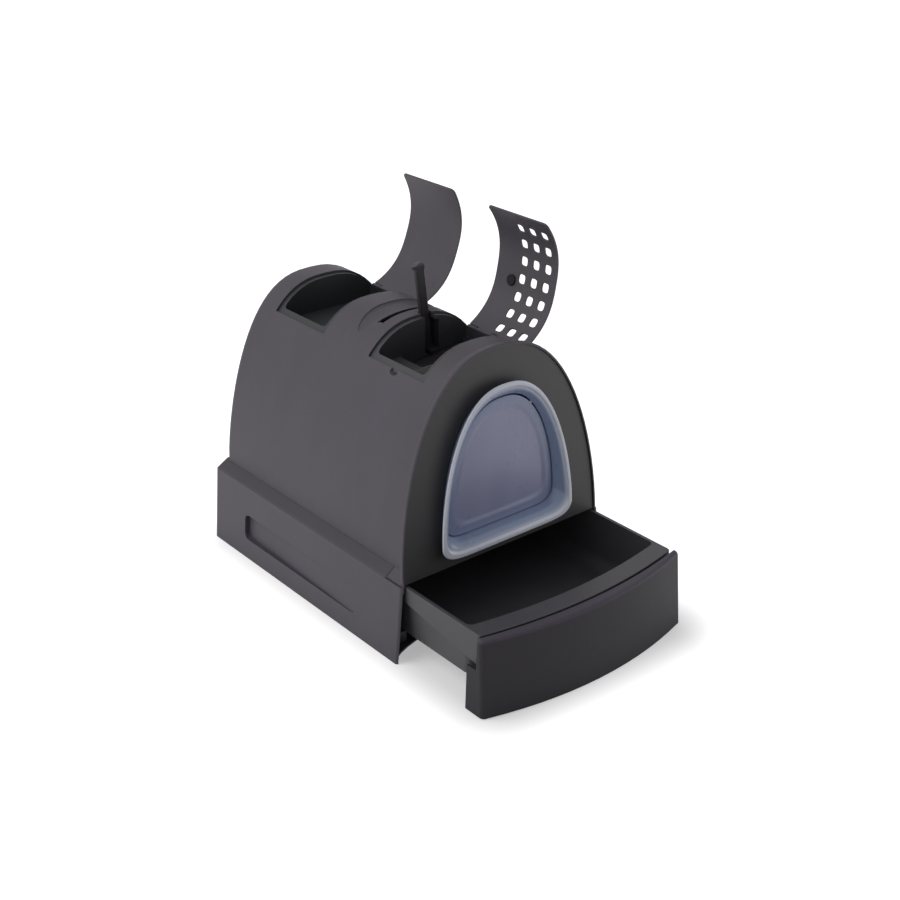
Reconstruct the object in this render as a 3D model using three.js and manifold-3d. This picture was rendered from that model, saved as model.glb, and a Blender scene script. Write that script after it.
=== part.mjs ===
// Hooded cat litter box with a pull-out litter drawer, two hinged top lids,
// a swinging entrance flap and a scoop. Millimetres, +Z up, front faces -Y.
// Origin: centre of the base's underside. Rest pose: drawer pulled out,
// both lids open on their stops, scoop standing in its well.
import * as THREE from 'three';
import { mergeVertices } from 'three/addons/utils/BufferGeometryUtils.js';
import Module from 'manifold-3d';

const wasm = await Module();
wasm.setup();

// ---------------------------------------------------------------- driving dimensions
const gap = 0.3;              // standing gap between two separate mouldings
const wall = 3;               // hood and base wall
const baseHalf = 200;         // base half width at the floor
const baseTaper = 10.5;       // each side wall leans in by this much
const baseTopHalf = baseHalf - baseTaper;
const baseFront = -245;       // front edge of the base
const baseBack = 245;         // back of the base
const baseHeight = 121.5;     // top edge of the base walls
const ledgeRise = 12.5;       // height of the sloping ledge, where the hood stands
const ledgeTop = baseHeight + ledgeRise;
const seatWidth = 9;          // flat seat at the inner side of the ledge
const runnerTop = 35.7;       // top of the drawer runners
const runnerWidth = 44;       // reach of a runner from the side wall
const runnerFront = -226;     // front end of the runners
const floorScoop = 46;        // the floor's front edge curves back by this much
const panelDepth = 1;         // side recess: its depth at the front end
const panelGrip = 8.5;        // and at the back end
const panelBack = 156;        // back end of the side recess
const panelFront = -142;      // front end of the side recess
const panelLow = 33;          // lower edge of the side recess
const panelHigh = 75;         // upper edge of the side recess
const panelRound = 10;        // rounding of its corners

const ledgeReach = 17.5;      // the ledge's width on each side
const hoodHalf = baseTopHalf - ledgeReach;
const hoodRise = 290.5;       // height of the hood over the ledge
const hoodTop = ledgeTop + hoodRise;
const hoodBack = baseBack - 3;
const hoodRound = 14;         // rounding of the hood's back edge
const lipDepth = 22;          // flared lip, front to back
const lipSet = 3.2;           // the lip stands this far inside the base's top edge
const lipHalf = baseTopHalf - lipSet;
const lipRise = 5.5;          // crown of the lip over the crown of the hood
const lipTop = hoodTop + lipRise;
const lipEdge = 3.4;          // thickness of the lip's front edge
const lipFoot = 15;           // length of the lip's foot on the base, behind the flare
const lipStraight = 6;        // the lip runs straight this far before it flares in
const shoulderReach = 8;      // inner shoulder behind the front panel
const sill = baseHeight + gap; // underside of the lip and of the front panel
const frontSet = 1;           // lip's front plane behind the base's front edge
const frontPlane = baseFront + frontSet;
const lean = 0.06;            // the front leans back by this much per millimetre of height
const panelRecess = 2.5;      // front panel behind the lip's edge
const panelThick = 3;
const sillBar = 10;           // height of the bar behind the foot of the front panel

const lidHalf = 93;           // lids span this far each side of the centre
const lidThick = 3;
const lidLength = 127;        // a lid's size front to back
const frontLidY = -176;       // front edge of the front lid
const rearLidY = 64;          // front edge of the rear lid
const frontLidOpen = 101;     // opening angle in degrees
const rearLidOpen = 110;
const lidGap = 0.6;           // clearance around a lid
const rebateLip = 7;          // ledge that carries the liner and the lid
const linerThick = 2;
const pinRadius = 2;
const knuckleRadius = 4;
const pinClear = 0.25;
const knuckleLength = 20;
const holeSize = 14;          // square vent holes in the front lid
const holePitchY = 25.5;
const holePitchArc = 27.5;
const holeColumns = 3;
const holeRows = 7;
const firstHoleY = 19.5;      // first column behind the lid's front edge
const firstHoleArc = 30;      // first row from the lid's free edge
const holeRound = 4;          // rounding of their corners
const buttonArc = 119;        // round rubber button behind the columns
const buttonY = 91;
const buttonRadius = 8.6;
const buttonThick = 2.4;
const stemRadius = 4;         // its stem fills a hole in the lid

const gripFront = -27;        // oval grip recess on the bridge
const gripBack = 23;
const gripHalf = 76;
const gripDepth = 3.5;
const slitHalf = 50;          // finger slit along the front of the recess
const slitFront = -27;
const slitBack = -13;

const binDepth = 56;          // floor of the rear storage bin, below the hood's crown
const binFloor = hoodTop - binDepth;
const shelfDepth = 52.5;      // filter shelf of the front liner
const shelfTop = hoodTop - shelfDepth;
const wellDepth = 86.5;       // floor of the scoop well
const wellFloor = hoodTop - wellDepth;
const wellLeft = -44;
const wellRight = 80;
const wellFront = -120;
const pocketClear = 3;        // room around the scoop's pan in its pocket
const filterHalf = 75;        // carbon filter pad
const filterWidth = 44;
const filterThick = 8;

const doorStep = 18.2;        // underside of the door frame over the sill
const doorFoot = sill + doorStep;
const doorCorner = 24;        // height of its rounded foot corners
const doorHalf = 123.5;
const doorFall = 51;          // crown of the door frame below the crown of the lip
const doorCrown = lipTop - doorFall;
const ringProud = 15;         // door frame in front of the lip
const ringWidth = 17;         // its rim and the dished wall behind it
const rimWidth = 7.5;         // flat front of the rim
const rimThick = 3;
const sleeveInset = 21;       // inner face of the door frame's sleeve
const sleeveThick = 2;
const frameWall = 8;          // width of the wall that stands on the front panel
const frameRest = 1;          // its overlap on the panel round the panel's cut-out
const sleeveEnd = frontPlane + 18;     // back end of the sleeve
const flapY = frontPlane + 12;         // mid plane of the hanging flap, and its pivot
const flapThick = 5;
const flapFace = flapY - flapThick / 2;
const flapSheet = 2.2;
const flapBorder = 22;
const flapFootRise = 10;      // the field's foot stands this much higher still
const flapClear = 1.8;
const flapCrownClear = 3;
const pivotFall = 47;         // pivots below the crown of the door frame
const pivotZ = doorCrown - pivotFall;
const pivotReach = 61;        // outer end of a pivot pin
const pivotDepth = 14;        // length of a pivot pin
const doorPinRadius = 2;
const doorPinClear = 0.15;

const traySet = 7.5;          // the tray's rim stands this far inside the base's top edge
const trayHalf = baseTopHalf - traySet;
const trayRear = 97;          // rim's rear edge with the drawer pulled out
const trayTop = baseHeight - 1;
const rimReach = 3.5;         // the rim stands proud of the tub
const tubHalfTop = trayHalf - rimReach;
const tubTaper = 6.5;
const tubHalfFloor = tubHalfTop - tubTaper;
const trayWall = 2.5;
const trayFillet = 20;        // inner rounding between floor and walls
const trayFrontEnd = -403;    // rim's front edge at its ends
const trayBow = 21;
const tubFrontEnd = -377;     // tub's front edge at its ends
const tubBow = 19;
const skirtLow = trayTop - 24;       // lower edge of the skirt
const skirtDrop = trayTop - 48.5;      // lower edge of the skirt at the front
const skirtSlope = 160;

const fasciaEnd = -414;       // drawer front's face at its ends, along the top
const fasciaBow = 30;
const fasciaLow = 1;
const drawerOut = 141.2;      // how far the drawer is pulled out
const fasciaBack = baseFront - 2 * gap - drawerOut;    // back edge of the end wings
const wingTop = skirtDrop - 2 * gap;         // top of the end wings behind the tray's corners
const fasciaRound = 5;        // rounding of the top edge
const fasciaSeam = 4.8;         // open joint between the tray's rim and the drawer front
const fasciaHalf = trayHalf + 6.6;     // its half width along the top
const fasciaSpread = 4;       // and how much wider each end is at the bottom
const fasciaRake = 8;         // its foot stands this far in front of its top

const scoopX = 12.7;          // scoop handle where it crosses the hood's crown
const scoopLean = 0.1228;     // sideways lean of the handle
const handleWide = 16;
const handleThick = 7;
const handleTop = 78;         // handle's height over the crown
const handleY = frontLidY + lidLength + 5.7;    // behind the front lid
const notchClear = 1.2;
const handleFoot = -62;       // where the handle steps forward to the pan
const stepThick = 6;
const panHalf = 44;
const panLength = 96;
const panDepth = 24;
const scoopWall = 2.4;

// ---------------------------------------------------------------- solids
const V3 = (x, y, z) => new THREE.Vector3(x, y, z);

function solid(geometry) {
  const bare = geometry.clone();
  bare.deleteAttribute('normal');
  bare.deleteAttribute('uv');
  const merged = mergeVertices(bare, 1e-4);
  return new wasm.Manifold(new wasm.Mesh({
    numProp: 3,
    vertProperties: new Float32Array(merged.attributes.position.array),
    triVerts: new Uint32Array(merged.index.array),
  }));
}

function geometryOf(body) {
  const mesh = body.getMesh();
  const geometry = new THREE.BufferGeometry();
  geometry.setAttribute('position', new THREE.BufferAttribute(mesh.vertProperties, 3));
  geometry.setIndex(new THREE.BufferAttribute(mesh.triVerts, 1));
  return geometry;
}

function block(x0, x1, y0, y1, z0, z1) {
  const geometry = new THREE.BoxGeometry(x1 - x0, y1 - y0, z1 - z0);
  geometry.translate((x0 + x1) / 2, (y0 + y1) / 2, (z0 + z1) / 2);
  return solid(geometry);
}

// Signed volume tells which way the triangles face.
function faceOutwards(points, triangles) {
  let volume = 0;
  for (let i = 0; i < triangles.length; i += 3) {
    const [a, b, c] = [0, 1, 2].map((k) => points[triangles[i + k]]);
    volume += a.dot(b.clone().cross(c));
  }
  if (volume < 0) {
    for (let i = 0; i < triangles.length; i += 3) {
      [triangles[i], triangles[i + 1]] = [triangles[i + 1], triangles[i]];
    }
  }
}

function fromRings(points, triangles) {
  faceOutwards(points, triangles);
  const geometry = new THREE.BufferGeometry();
  const values = points.flatMap((p) => [p.x, p.y, p.z]);
  geometry.setAttribute('position', new THREE.Float32BufferAttribute(values, 3));
  geometry.setIndex(triangles);
  return solid(geometry);
}

function ringWalls(rings, closed) {
  const count = rings[0].length;
  const triangles = [];
  const last = closed ? rings.length : rings.length - 1;
  for (let r = 0; r < last; r++) {
    const next = (r + 1) % rings.length;
    for (let i = 0; i < count; i++) {
      const j = (i + 1) % count;
      triangles.push(r * count + i, r * count + j, next * count + j);
      triangles.push(r * count + i, next * count + j, next * count + i);
    }
  }
  return triangles;
}

// A closed skin over a stack of like loops, with flat caps. The loops are
// seen along `axis` when their caps are cut into triangles.
function loft(rings, axis) {
  const count = rings[0].length;
  const seen = { x: (p) => [p.y, p.z], y: (p) => [p.x, p.z], z: (p) => [p.x, p.y] }[axis];
  const flat = rings[0].map((p) => new THREE.Vector2(...seen(p)));
  const turn = Math.sign(THREE.ShapeUtils.area(flat));
  const triangles = ringWalls(rings, false);
  const top = (rings.length - 1) * count;
  for (const [a, b, c] of THREE.ShapeUtils.triangulateShape(flat, [])) {
    const along = Math.sign(THREE.ShapeUtils.area([flat[a], flat[b], flat[c]])) === turn;
    const [p, q] = along ? [a, b] : [b, a];
    triangles.push(q, p, c, top + p, top + q, top + c);
  }
  return fromRings(rings.flat(), triangles);
}

// A closed ring-shaped skin: like loops, the last joined to the first.
const torus = (rings) => fromRings(rings.flat(), ringWalls(rings, true));

// A shape drawn in X and Z, pushed from y0 to y1.
function prismY(points, y0, y1) {
  return loft([y0, y1].map((y) => points.map(([x, z]) => V3(x, y, z))), 'y');
}

// A shape drawn in Y and Z, pushed from x0 to x1.
function prismX(points, x0, x1) {
  return loft([x0, x1].map((x) => points.map(([y, z]) => V3(x, y, z))), 'x');
}

// ---------------------------------------------------------------- outlines
const degrees = Math.PI / 180;
const hoodArch = { half: hoodHalf, spring: ledgeTop, crown: hoodTop, m: 1.5, n: 2.6 };
const lipArch = { half: lipHalf, spring: sill, crown: lipTop, m: 1.85, n: 2.45 };
const doorArch = { half: doorHalf, spring: doorFoot + doorCorner, crown: doorCrown, m: 1.75, n: 2.4 };
const archSteps = 44;

// An arch is a superellipse: its half width is half * (1 - u^m)^(1/n), where
// u is the height over the springing line as a share of the rise.
function archHalf({ half, spring, crown, m, n }, z) {
  const u = Math.min(1, Math.max(0, (z - spring) / (crown - spring)));
  return half * (1 - u ** m) ** (1 / n);
}

function archHeight({ half, spring, crown, m, n }, x) {
  return spring + (crown - spring) * (1 - (Math.abs(x) / half) ** n) ** (1 / m);
}

const shrink = (arch, inset) => ({ ...arch, half: arch.half - inset, crown: arch.crown - inset });

// Points over the arch from its right springing to its left one.
function archOver(arch, steps) {
  return Array.from({ length: steps + 1 }, (_, i) => {
    const z = arch.spring + (arch.crown - arch.spring) * Math.sin((Math.PI * i) / steps);
    return [archHalf(arch, z) * Math.sign(steps - 2 * i), z];
  });
}

const cutFoot = 100;
function archPoints(arch, inset) {
  const inner = shrink(arch, inset);
  return [[inner.half, cutFoot], ...archOver(inner, archSteps), [-inner.half, cutFoot]];
}

const upright = (y) => () => y;
const leaning = (depth) => (z) => frontPlane + depth + lean * (z - sill);
const ringAt = (points, y) => points.map(([x, z]) => V3(x, y(z), z));
const hoodPrism = (inset, y0, y1) => prismY(archPoints(hoodArch, inset), y0, y1);
function lipSlab(inset, v0, v1) {
  return loft([v0, v1].map((v) => ringAt(archPoints(lipArch, inset), leaning(v))), 'y');
}

// A curved slab of the hood's own arch, from d0 to d1 under its surface.
function archSlab(d0, d1, x0, x1, y0, y1) {
  const slab = hoodPrism(d0, y0, y1).subtract(hoodPrism(d1, y0 - 1, y1 + 1));
  return slab.intersect(block(x0, x1, y0, y1, ledgeTop, hoodTop + 20));
}

// A rectangle with rounded corners, seen from above.
function planLoop(x0, x1, y0, y1, radius, z, steps = 4) {
  const corners = [
    [x1 - radius, y1 - radius, 0], [x0 + radius, y1 - radius, 90],
    [x0 + radius, y0 + radius, 180], [x1 - radius, y0 + radius, 270],
  ];
  return corners.flatMap(([x, y, start]) => Array.from({ length: steps + 1 }, (_, i) => {
    const turn = (start + (90 * i) / steps) * degrees;
    return V3(x + radius * Math.cos(turn), y + radius * Math.sin(turn), z);
  }));
}

function pad(x0, x1, y0, y1, z0, z1, radius) {
  return loft([z0, z1].map((z) => planLoop(x0, x1, y0, y1, radius, z)), 'z');
}

// The same with a front edge that bows forward.
function bowLoop(half, frontEnd, bow, back, radius, z) {
  const frontAt = (x) => frontEnd - bow * (1 - (x / half) ** 2);
  const arc = (x, y, start) => [0, 1, 2, 3, 4, 5].map((i) => {
    const turn = (start + 18 * i) * degrees;
    return V3(x + radius * Math.cos(turn), y + radius * Math.sin(turn), z);
  });
  const inner = half - radius;
  const shoulder = frontAt(inner) + radius;
  const across = Array.from({ length: 13 }, (_, i) => V3(-inner + (inner * (i + 1)) / 7, 0, z));
  return [
    ...arc(inner, back - radius, 0), ...arc(-inner, back - radius, 90),
    ...arc(-inner, shoulder, 180), ...across.map((p) => V3(p.x, frontAt(p.x), z)),
    ...arc(inner, shoulder, 270),
  ];
}

function rod(radius, length, axis, centre, sides = 16) {
  const geometry = new THREE.CylinderGeometry(radius, radius, length, sides);
  if (axis === 'x') geometry.rotateZ(Math.PI / 2);
  geometry.translate(centre.x, centre.y, centre.z);
  return solid(geometry);
}
const rodY = (radius, x, z, y0, y1) => rod(radius, y1 - y0, 'y', V3(x, (y0 + y1) / 2, z));
const rodX = (radius, x0, x1, y, z) => rod(radius, x1 - x0, 'x', V3((x0 + x1) / 2, y, z));

// A block turned about Y; `along` is its size on the turned X.
function turnedBlock(along, across, x, z, y0, y1, angle) {
  const geometry = new THREE.BoxGeometry(along, y1 - y0, across);
  geometry.rotateY(angle);
  geometry.translate(x, (y0 + y1) / 2, z);
  return solid(geometry);
}

const join = (bodies) => bodies.reduce((sum, body) => sum.add(body));

// ---------------------------------------------------------------- base
const draft = (baseHalf - baseTopHalf) / baseHeight;
const sideAt = (z) => baseHalf - draft * z;
const cornerRadius = 5;
const lipBack = frontPlane + lipDepth;
const ledgeFront = lipBack + lipFoot;
const ledgeHalf = hoodHalf + gap;
const seatHalf = ledgeHalf - seatWidth;
const seatBack = hoodBack - seatWidth;
const runnerIn = baseHalf - wall - runnerWidth;
const railWidth = 5;
const railHeight = 9.5;

// The recess in a side wall, which gets deeper towards the back. `grow` gives
// the outside of the wall behind it.
function sidePanel(side, grow) {
  const low = panelLow - grow;
  const outline = planLoop(panelFront - grow, panelBack + grow, low, panelHigh + grow, panelRound + grow, 0);
  const slope = (panelGrip - panelDepth) / (panelBack - panelFront);
  const depthAt = (y) => panelDepth + slope * (y - panelFront);
  return loft([(y) => -depthAt(y) - grow, () => (grow ? -1 : wall)].map((out) => (
    outline.map((p) => V3(side * (sideAt(p.y) + out(p.x)), p.x, p.y)))), 'x');
}

function makeBase() {
  const loop = (half, front, back, z) => planLoop(-half, half, front, back, cornerRadius, z);
  const walls = loft([
    loop(baseHalf, baseFront, baseBack, 0),
    loop(baseTopHalf, baseFront, baseBack, baseHeight),
  ], 'z');
  const ledge = loft([
    loop(sideAt(wall), ledgeFront, baseBack, wall),
    loop(baseTopHalf, ledgeFront, baseBack, baseHeight),
    loop(ledgeHalf, ledgeFront, hoodBack + gap, ledgeTop),
  ], 'z');
  const open = baseFront - 20;
  const under = ledgeTop - wall;
  const hollow = loft([
    loop(sideAt(wall) - wall, open, baseBack - wall, wall),
    loop(baseTopHalf - wall, open, baseBack - wall, baseHeight - wall),
    loop(ledgeHalf - wall, open, hoodBack + gap - wall, under),
    loop(seatHalf, open, seatBack, under + 0.01),
    loop(seatHalf, open, seatBack, ledgeTop + 10),
  ], 'z');
  const shell = walls.add(ledge);
  const inside = [];
  for (const side of [-1, 1]) {
    const [x0, x1] = side < 0 ? [-baseHalf, -runnerIn] : [runnerIn, baseHalf];
    inside.push(block(x0, x1, runnerFront, seatBack, runnerTop - wall, runnerTop));
    for (let i = 0; i < 5; i++) {
      const y = runnerFront + 20 + (i * (seatBack - runnerFront - 40)) / 4;
      inside.push(block(x0, x1, y - 1.2, y + 1.2, wall / 2, runnerTop - wall / 2));
    }
    const rail = side < 0 ? [-baseHalf, railWidth - baseTopHalf] : [baseTopHalf - railWidth, baseHalf];
    inside.push(block(...rail, baseFront, ledgeFront + 1, baseHeight - railHeight, baseHeight));
  }
  inside.push(sidePanel(-1, wall), sidePanel(1, wall));
  const recesses = [sidePanel(-1, 0), sidePanel(1, 0)];
  const above = block(-baseHalf, baseHalf, baseFront - 30, ledgeFront, baseHeight, hoodTop);
  const bay = new THREE.CylinderGeometry(1, 1, 4 * wall, 40);
  bay.rotateX(Math.PI / 2);
  bay.scale(baseHalf - wall, floorScoop, 1);
  bay.translate(0, baseFront, 0);
  const body = shell.subtract(hollow).add(join(inside).intersect(shell));
  return body.subtract(join([...recesses, above, solid(bay)]));
}

// ---------------------------------------------------------------- hood
// Outer skin of the hood, front to back; `inset` gives the skin inside it.
function hoodSkin(inset, fromDepth) {
  const depths = [0, 1.5, lipStraight, 8.5, 12, 17, lipDepth].filter((depth) => depth > fromDepth);
  const rings = [fromDepth, ...depths].map((depth) => {
    const share = depth < lipStraight ? 1 : (1 - (depth - lipStraight) / (lipDepth - lipStraight)) ** 2;
    const front = archPoints(lipArch, inset + (depth === 0 ? 1 : 0));
    const behind = archPoints(hoodArch, inset);
    return front.map(([x, z], i) => {
      const [bx, bz] = behind[i];
      const height = bz + share * (z - bz);
      return V3(bx + share * (x - bx), leaning(depth)(height), height);
    });
  });
  const radius = hoodRound - inset;
  for (let i = 0; i <= 4; i++) {
    const turn = (Math.PI / 2) * (i / 4);
    const y = hoodBack - inset - radius + radius * Math.sin(turn);
    rings.push(ringAt(archPoints(hoodArch, inset + radius * (1 - Math.cos(turn))), upright(y)));
  }
  return loft(rings, 'y');
}

const linerTop = lidThick + 0.4;                    // depth of a liner's flange
const frameDepth = linerTop + linerThick + gap;     // depth of the ledge under it
const hingeX = lidHalf + 1;
const hingeZ = archHeight(hoodArch, hingeX);
const hingeSlope = Math.atan2(archHeight(hoodArch, hingeX - 1) - archHeight(hoodArch, hingeX + 1), 2);
const hingeClear = knuckleRadius + 0.7;
const pocketHalf = lidHalf + lidGap;
const throughHalf = pocketHalf - rebateLip;
const frameReach = hingeX + hingeClear + wall;
const hoodKnuckles = (lidY) => [0.5, (lidLength - knuckleLength) / 2, lidLength - knuckleLength - 0.5]
  .map((offset) => [lidY + offset, lidY + offset + knuckleLength]);

function openingFrame(lidY) {
  const [y0, y1] = [lidY - lidGap - wall, lidY + lidLength + lidGap + wall];
  return archSlab(1, frameDepth + wall, -frameReach, frameReach, y0, y1);
}

function openingCut(lidY) {
  const [y0, y1] = [lidY - lidGap, lidY + lidLength + lidGap];
  const pocket = archSlab(-6, frameDepth, -pocketHalf, pocketHalf, y0, y1);
  const through = block(-throughHalf, throughHalf, y0 + rebateLip, y1 - rebateLip, ledgeTop, hoodTop + 20);
  return join([pocket, through, rodY(hingeClear, hingeX, hingeZ, y0, y1)]);
}

// A point `right` and `down` from a hinge, measured on the slope of the hood.
function nearHinge(right, down) {
  const [c, s] = [Math.cos(hingeSlope), Math.sin(hingeSlope)];
  return [hingeX + right * c - down * s, hingeZ - right * s - down * c];
}

function knuckles(ranges, right, down, thick) {
  return join(ranges.map(([y0, y1]) => {
    const web = turnedBlock(knuckleRadius * 1.6, thick, ...nearHinge(right, down), y0, y1, hingeSlope);
    return rodY(knuckleRadius, hingeX, hingeZ, y0, y1).add(web);
  }));
}

function pinHole(lidY) {
  return rodY(pinRadius + pinClear, hingeX, hingeZ, lidY - lidGap, lidY + lidLength + lidGap);
}

// The oval grip recess: ellipses that follow the hood's arch, smaller as they
// go down. `extra` gives the outside of its wall.
function gripBowl(extra) {
  const middle = (gripFront + gripBack) / 2;
  const reach = (gripBack - gripFront) / 2 + extra;
  const steps = [[1, 0], [0.97, 0.45], [0.88, 0.75], [0.66, 0.93], [0.25, 1]];
  const ellipse = (share, height) => Array.from({ length: 28 }, (_, i) => {
    const turn = (2 * Math.PI * i) / 28;
    const x = (gripHalf + extra) * share * Math.cos(turn);
    return V3(x, middle + reach * share * Math.sin(turn), height(x));
  });
  const floor = (fall) => (x) => archHeight(hoodArch, x) - fall * gripDepth - extra;
  const rings = steps.map(([share, fall]) => ellipse(share, floor(fall)));
  const bowl = loft([ellipse(1, () => hoodTop + 20), ...rings], 'z');
  return extra ? bowl.intersect(hoodPrism(1, baseFront, hoodBack)) : bowl;
}

const notchBack = handleY + handleThick / 2 + 0.6;
const notchLeft = scoopX - handleWide / 2 - notchClear;
const notchRight = scoopX + handleWide / 2 + notchClear + 1;

function makeHood() {
  const lips = [frontLidY, rearLidY];
  const outer = hoodSkin(0, 0);
  const footFront = frontPlane + panelRecess + panelThick + 2 * gap + lean * (ledgeTop - sill);
  const foot = join([-1, 1].map((side) => prismY([
    [side * (hoodHalf - wall), sill], [side * lipHalf, sill], [side * lipHalf, sill + 1],
    [side * hoodHalf, ledgeTop], [side * (hoodHalf - wall), ledgeTop],
  ], footFront, ledgeFront - gap)));
  const inner = join([
    hoodSkin(wall, lipStraight + wall),
    lipSlab(lipEdge, -1, panelRecess + panelThick + gap),
    lipSlab(lipEdge + shoulderReach, 0, lipStraight + wall + 1),
  ]);
  const bar = lipSlab(wall, panelRecess + panelThick + gap, lipStraight + wall)
    .intersect(block(-lipHalf, lipHalf, frontPlane, hoodBack, sill, sill + sillBar));
  const below = join([
    block(-lipHalf - 9, lipHalf + 9, frontPlane - 9, hoodBack + 9, 0, sill),
    block(-lipHalf - 9, lipHalf + 9, ledgeFront - gap, hoodBack + 9, 0, ledgeTop + gap),
  ]);
  const finger = new THREE.SphereGeometry(1, 16, 10);
  finger.scale(8, 8.5, 6);
  finger.translate(-pocketHalf - 3, frontLidY + lidLength / 2, archHeight(hoodArch, pocketHalf + 3) + 1);
  const notchFront = frontLidY + lidLength - rebateLip - 2;
  const notch = block(notchLeft, notchRight, notchFront, notchBack, hoodTop - 40, hoodTop + 9);
  const slit = block(-slitHalf, slitHalf, slitFront, slitBack, hoodTop - 60, hoodTop + 9);
  const cuts = [gripBowl(0), slit, solid(finger), notch, ...lips.map(openingCut)];
  return outer.subtract(inner)
    .add(join([bar, foot, gripBowl(wall), ...lips.map(openingFrame)]))
    .subtract(join([...cuts, below]))
    .add(join(lips.map((y) => knuckles(hoodKnuckles(y), 2, knuckleRadius, knuckleRadius * 1.6))))
    .subtract(join(lips.map(pinHole)));
}

function makeFrontPanel() {
  const sheet = lipSlab(lipEdge + gap, panelRecess, panelRecess + panelThick);
  const outline = doorLoop(sleeveInset - frameWall + frameRest);
  const hole = loft([-30, 60].map((v) => ringAt(outline, leaning(v))), 'y');
  return sheet.subtract(block(-lipHalf, lipHalf, frontPlane - 30, 0, 0, sill)).subtract(hole);
}

// ---------------------------------------------------------------- lids
function lidSlab(lidY) {
  const outline = pad(-lidHalf, hingeX, lidY, lidY + lidLength, ledgeTop, hoodTop + 20, 7);
  const slab = archSlab(0, lidThick, -lidHalf, lidHalf, lidY, lidY + lidLength).intersect(outline);
  const room = hoodKnuckles(lidY).map(([y0, y1]) => rodY(hingeClear, hingeX, hingeZ, y0 - 1, y1 + 0.4));
  const [first, middle, last] = hoodKnuckles(lidY);
  const own = [[first[1] + 0.4, middle[0] - 0.4], [middle[1] + 0.4, last[0] - 0.4]];
  const webs = knuckles(own, -knuckleRadius, lidThick / 2, lidThick - gap);
  return slab.subtract(join(room)).add(webs).subtract(pinHole(lidY));
}

// The place on the hood's arch at distance `arc` along it from the lid's free edge.
function onArch(arc) {
  let [x, z, left] = [-lidHalf, archHeight(hoodArch, lidHalf), arc];
  const step = 0.25;
  while (left > 0) {
    const next = archHeight(hoodArch, x + step);
    left -= Math.hypot(step, next - z);
    x += step;
    z = next;
  }
  const slope = Math.atan2(archHeight(hoodArch, x - 1) - archHeight(hoodArch, x + 1), 2);
  return [x, z, slope];
}

// A stack of loops drawn flat at the origin, set on the hood's arch: `onArch`
// gives the place and the slope, `w` is the height over the hood's surface.
function onLid([x, z, slope], y, levels) {
  const [c, s] = [Math.cos(slope), Math.sin(slope)];
  return loft(levels.map(([w, points]) => points
    .map((p) => V3(x + p.x * c + w * s, y + p.y, z - p.x * s + w * c))), 'z');
}

const circle = (radius) => Array.from({ length: 24 }, (_, i) => {
  const turn = (2 * Math.PI * i) / 24;
  return V3(radius * Math.cos(turn), radius * Math.sin(turn), 0);
});

function makeFrontLid() {
  const half = holeSize / 2;
  const square = planLoop(-half, half, -half, half, holeRound, 0, 3);
  const holes = [];
  for (let row = 0; row < holeRows; row++) {
    const place = onArch(firstHoleArc + row * holePitchArc);
    for (let column = 0; column < holeColumns; column++) {
      const y = frontLidY + firstHoleY + column * holePitchY;
      holes.push(onLid(place, y, [[-3 * lidThick, square], [3 * lidThick, square]]));
    }
  }
  const bore = circle(stemRadius + gap);
  holes.push(onLid(onArch(buttonArc), frontLidY + buttonY, [[-3 * lidThick, bore], [3 * lidThick, bore]]));
  return lidSlab(frontLidY).subtract(join(holes));
}

// A soft button on the lid's underside, held by its stem.
function makeButton() {
  const top = -lidThick - 2 * gap;
  const low = top - buttonThick;
  const rim = circle(buttonRadius);
  const head = [[top, rim], [low + 0.7, rim], [low, circle(buttonRadius - 0.7)]];
  const stem = [[low + 0.5, circle(stemRadius)], [-gap, circle(stemRadius)]];
  const place = onArch(buttonArc);
  return onLid(place, frontLidY + buttonY, head).add(onLid(place, frontLidY + buttonY, stem));
}

// ---------------------------------------------------------------- liners and filter
const linerRight = hingeX - knuckleRadius - 1.2;

function linerFlange(lidY) {
  return archSlab(linerTop, linerTop + linerThick, gap - pocketHalf, linerRight,
    lidY - lidGap + gap, lidY + lidLength + lidGap - gap);
}

// Room inside a liner, and its outer shape when `grow` is the wall.
function linerRoom(lidY, floor, grow, front = 0) {
  const reach = throughHalf - gap - linerThick + grow;
  const y0 = lidY - lidGap + rebateLip + gap + linerThick - grow;
  const y1 = lidY + lidLength + lidGap - rebateLip - gap - linerThick + grow;
  return pad(-reach, reach, front || y0, y1, floor - grow, hoodTop + 20, 6 + grow);
}

const underLid = (depth) => hoodPrism(depth, baseFront, hoodBack);

function makeBin() {
  const outer = linerRoom(rearLidY, binFloor, linerThick).intersect(underLid(linerTop));
  return outer.add(linerFlange(rearLidY)).subtract(linerRoom(rearLidY, binFloor, 0));
}

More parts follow.
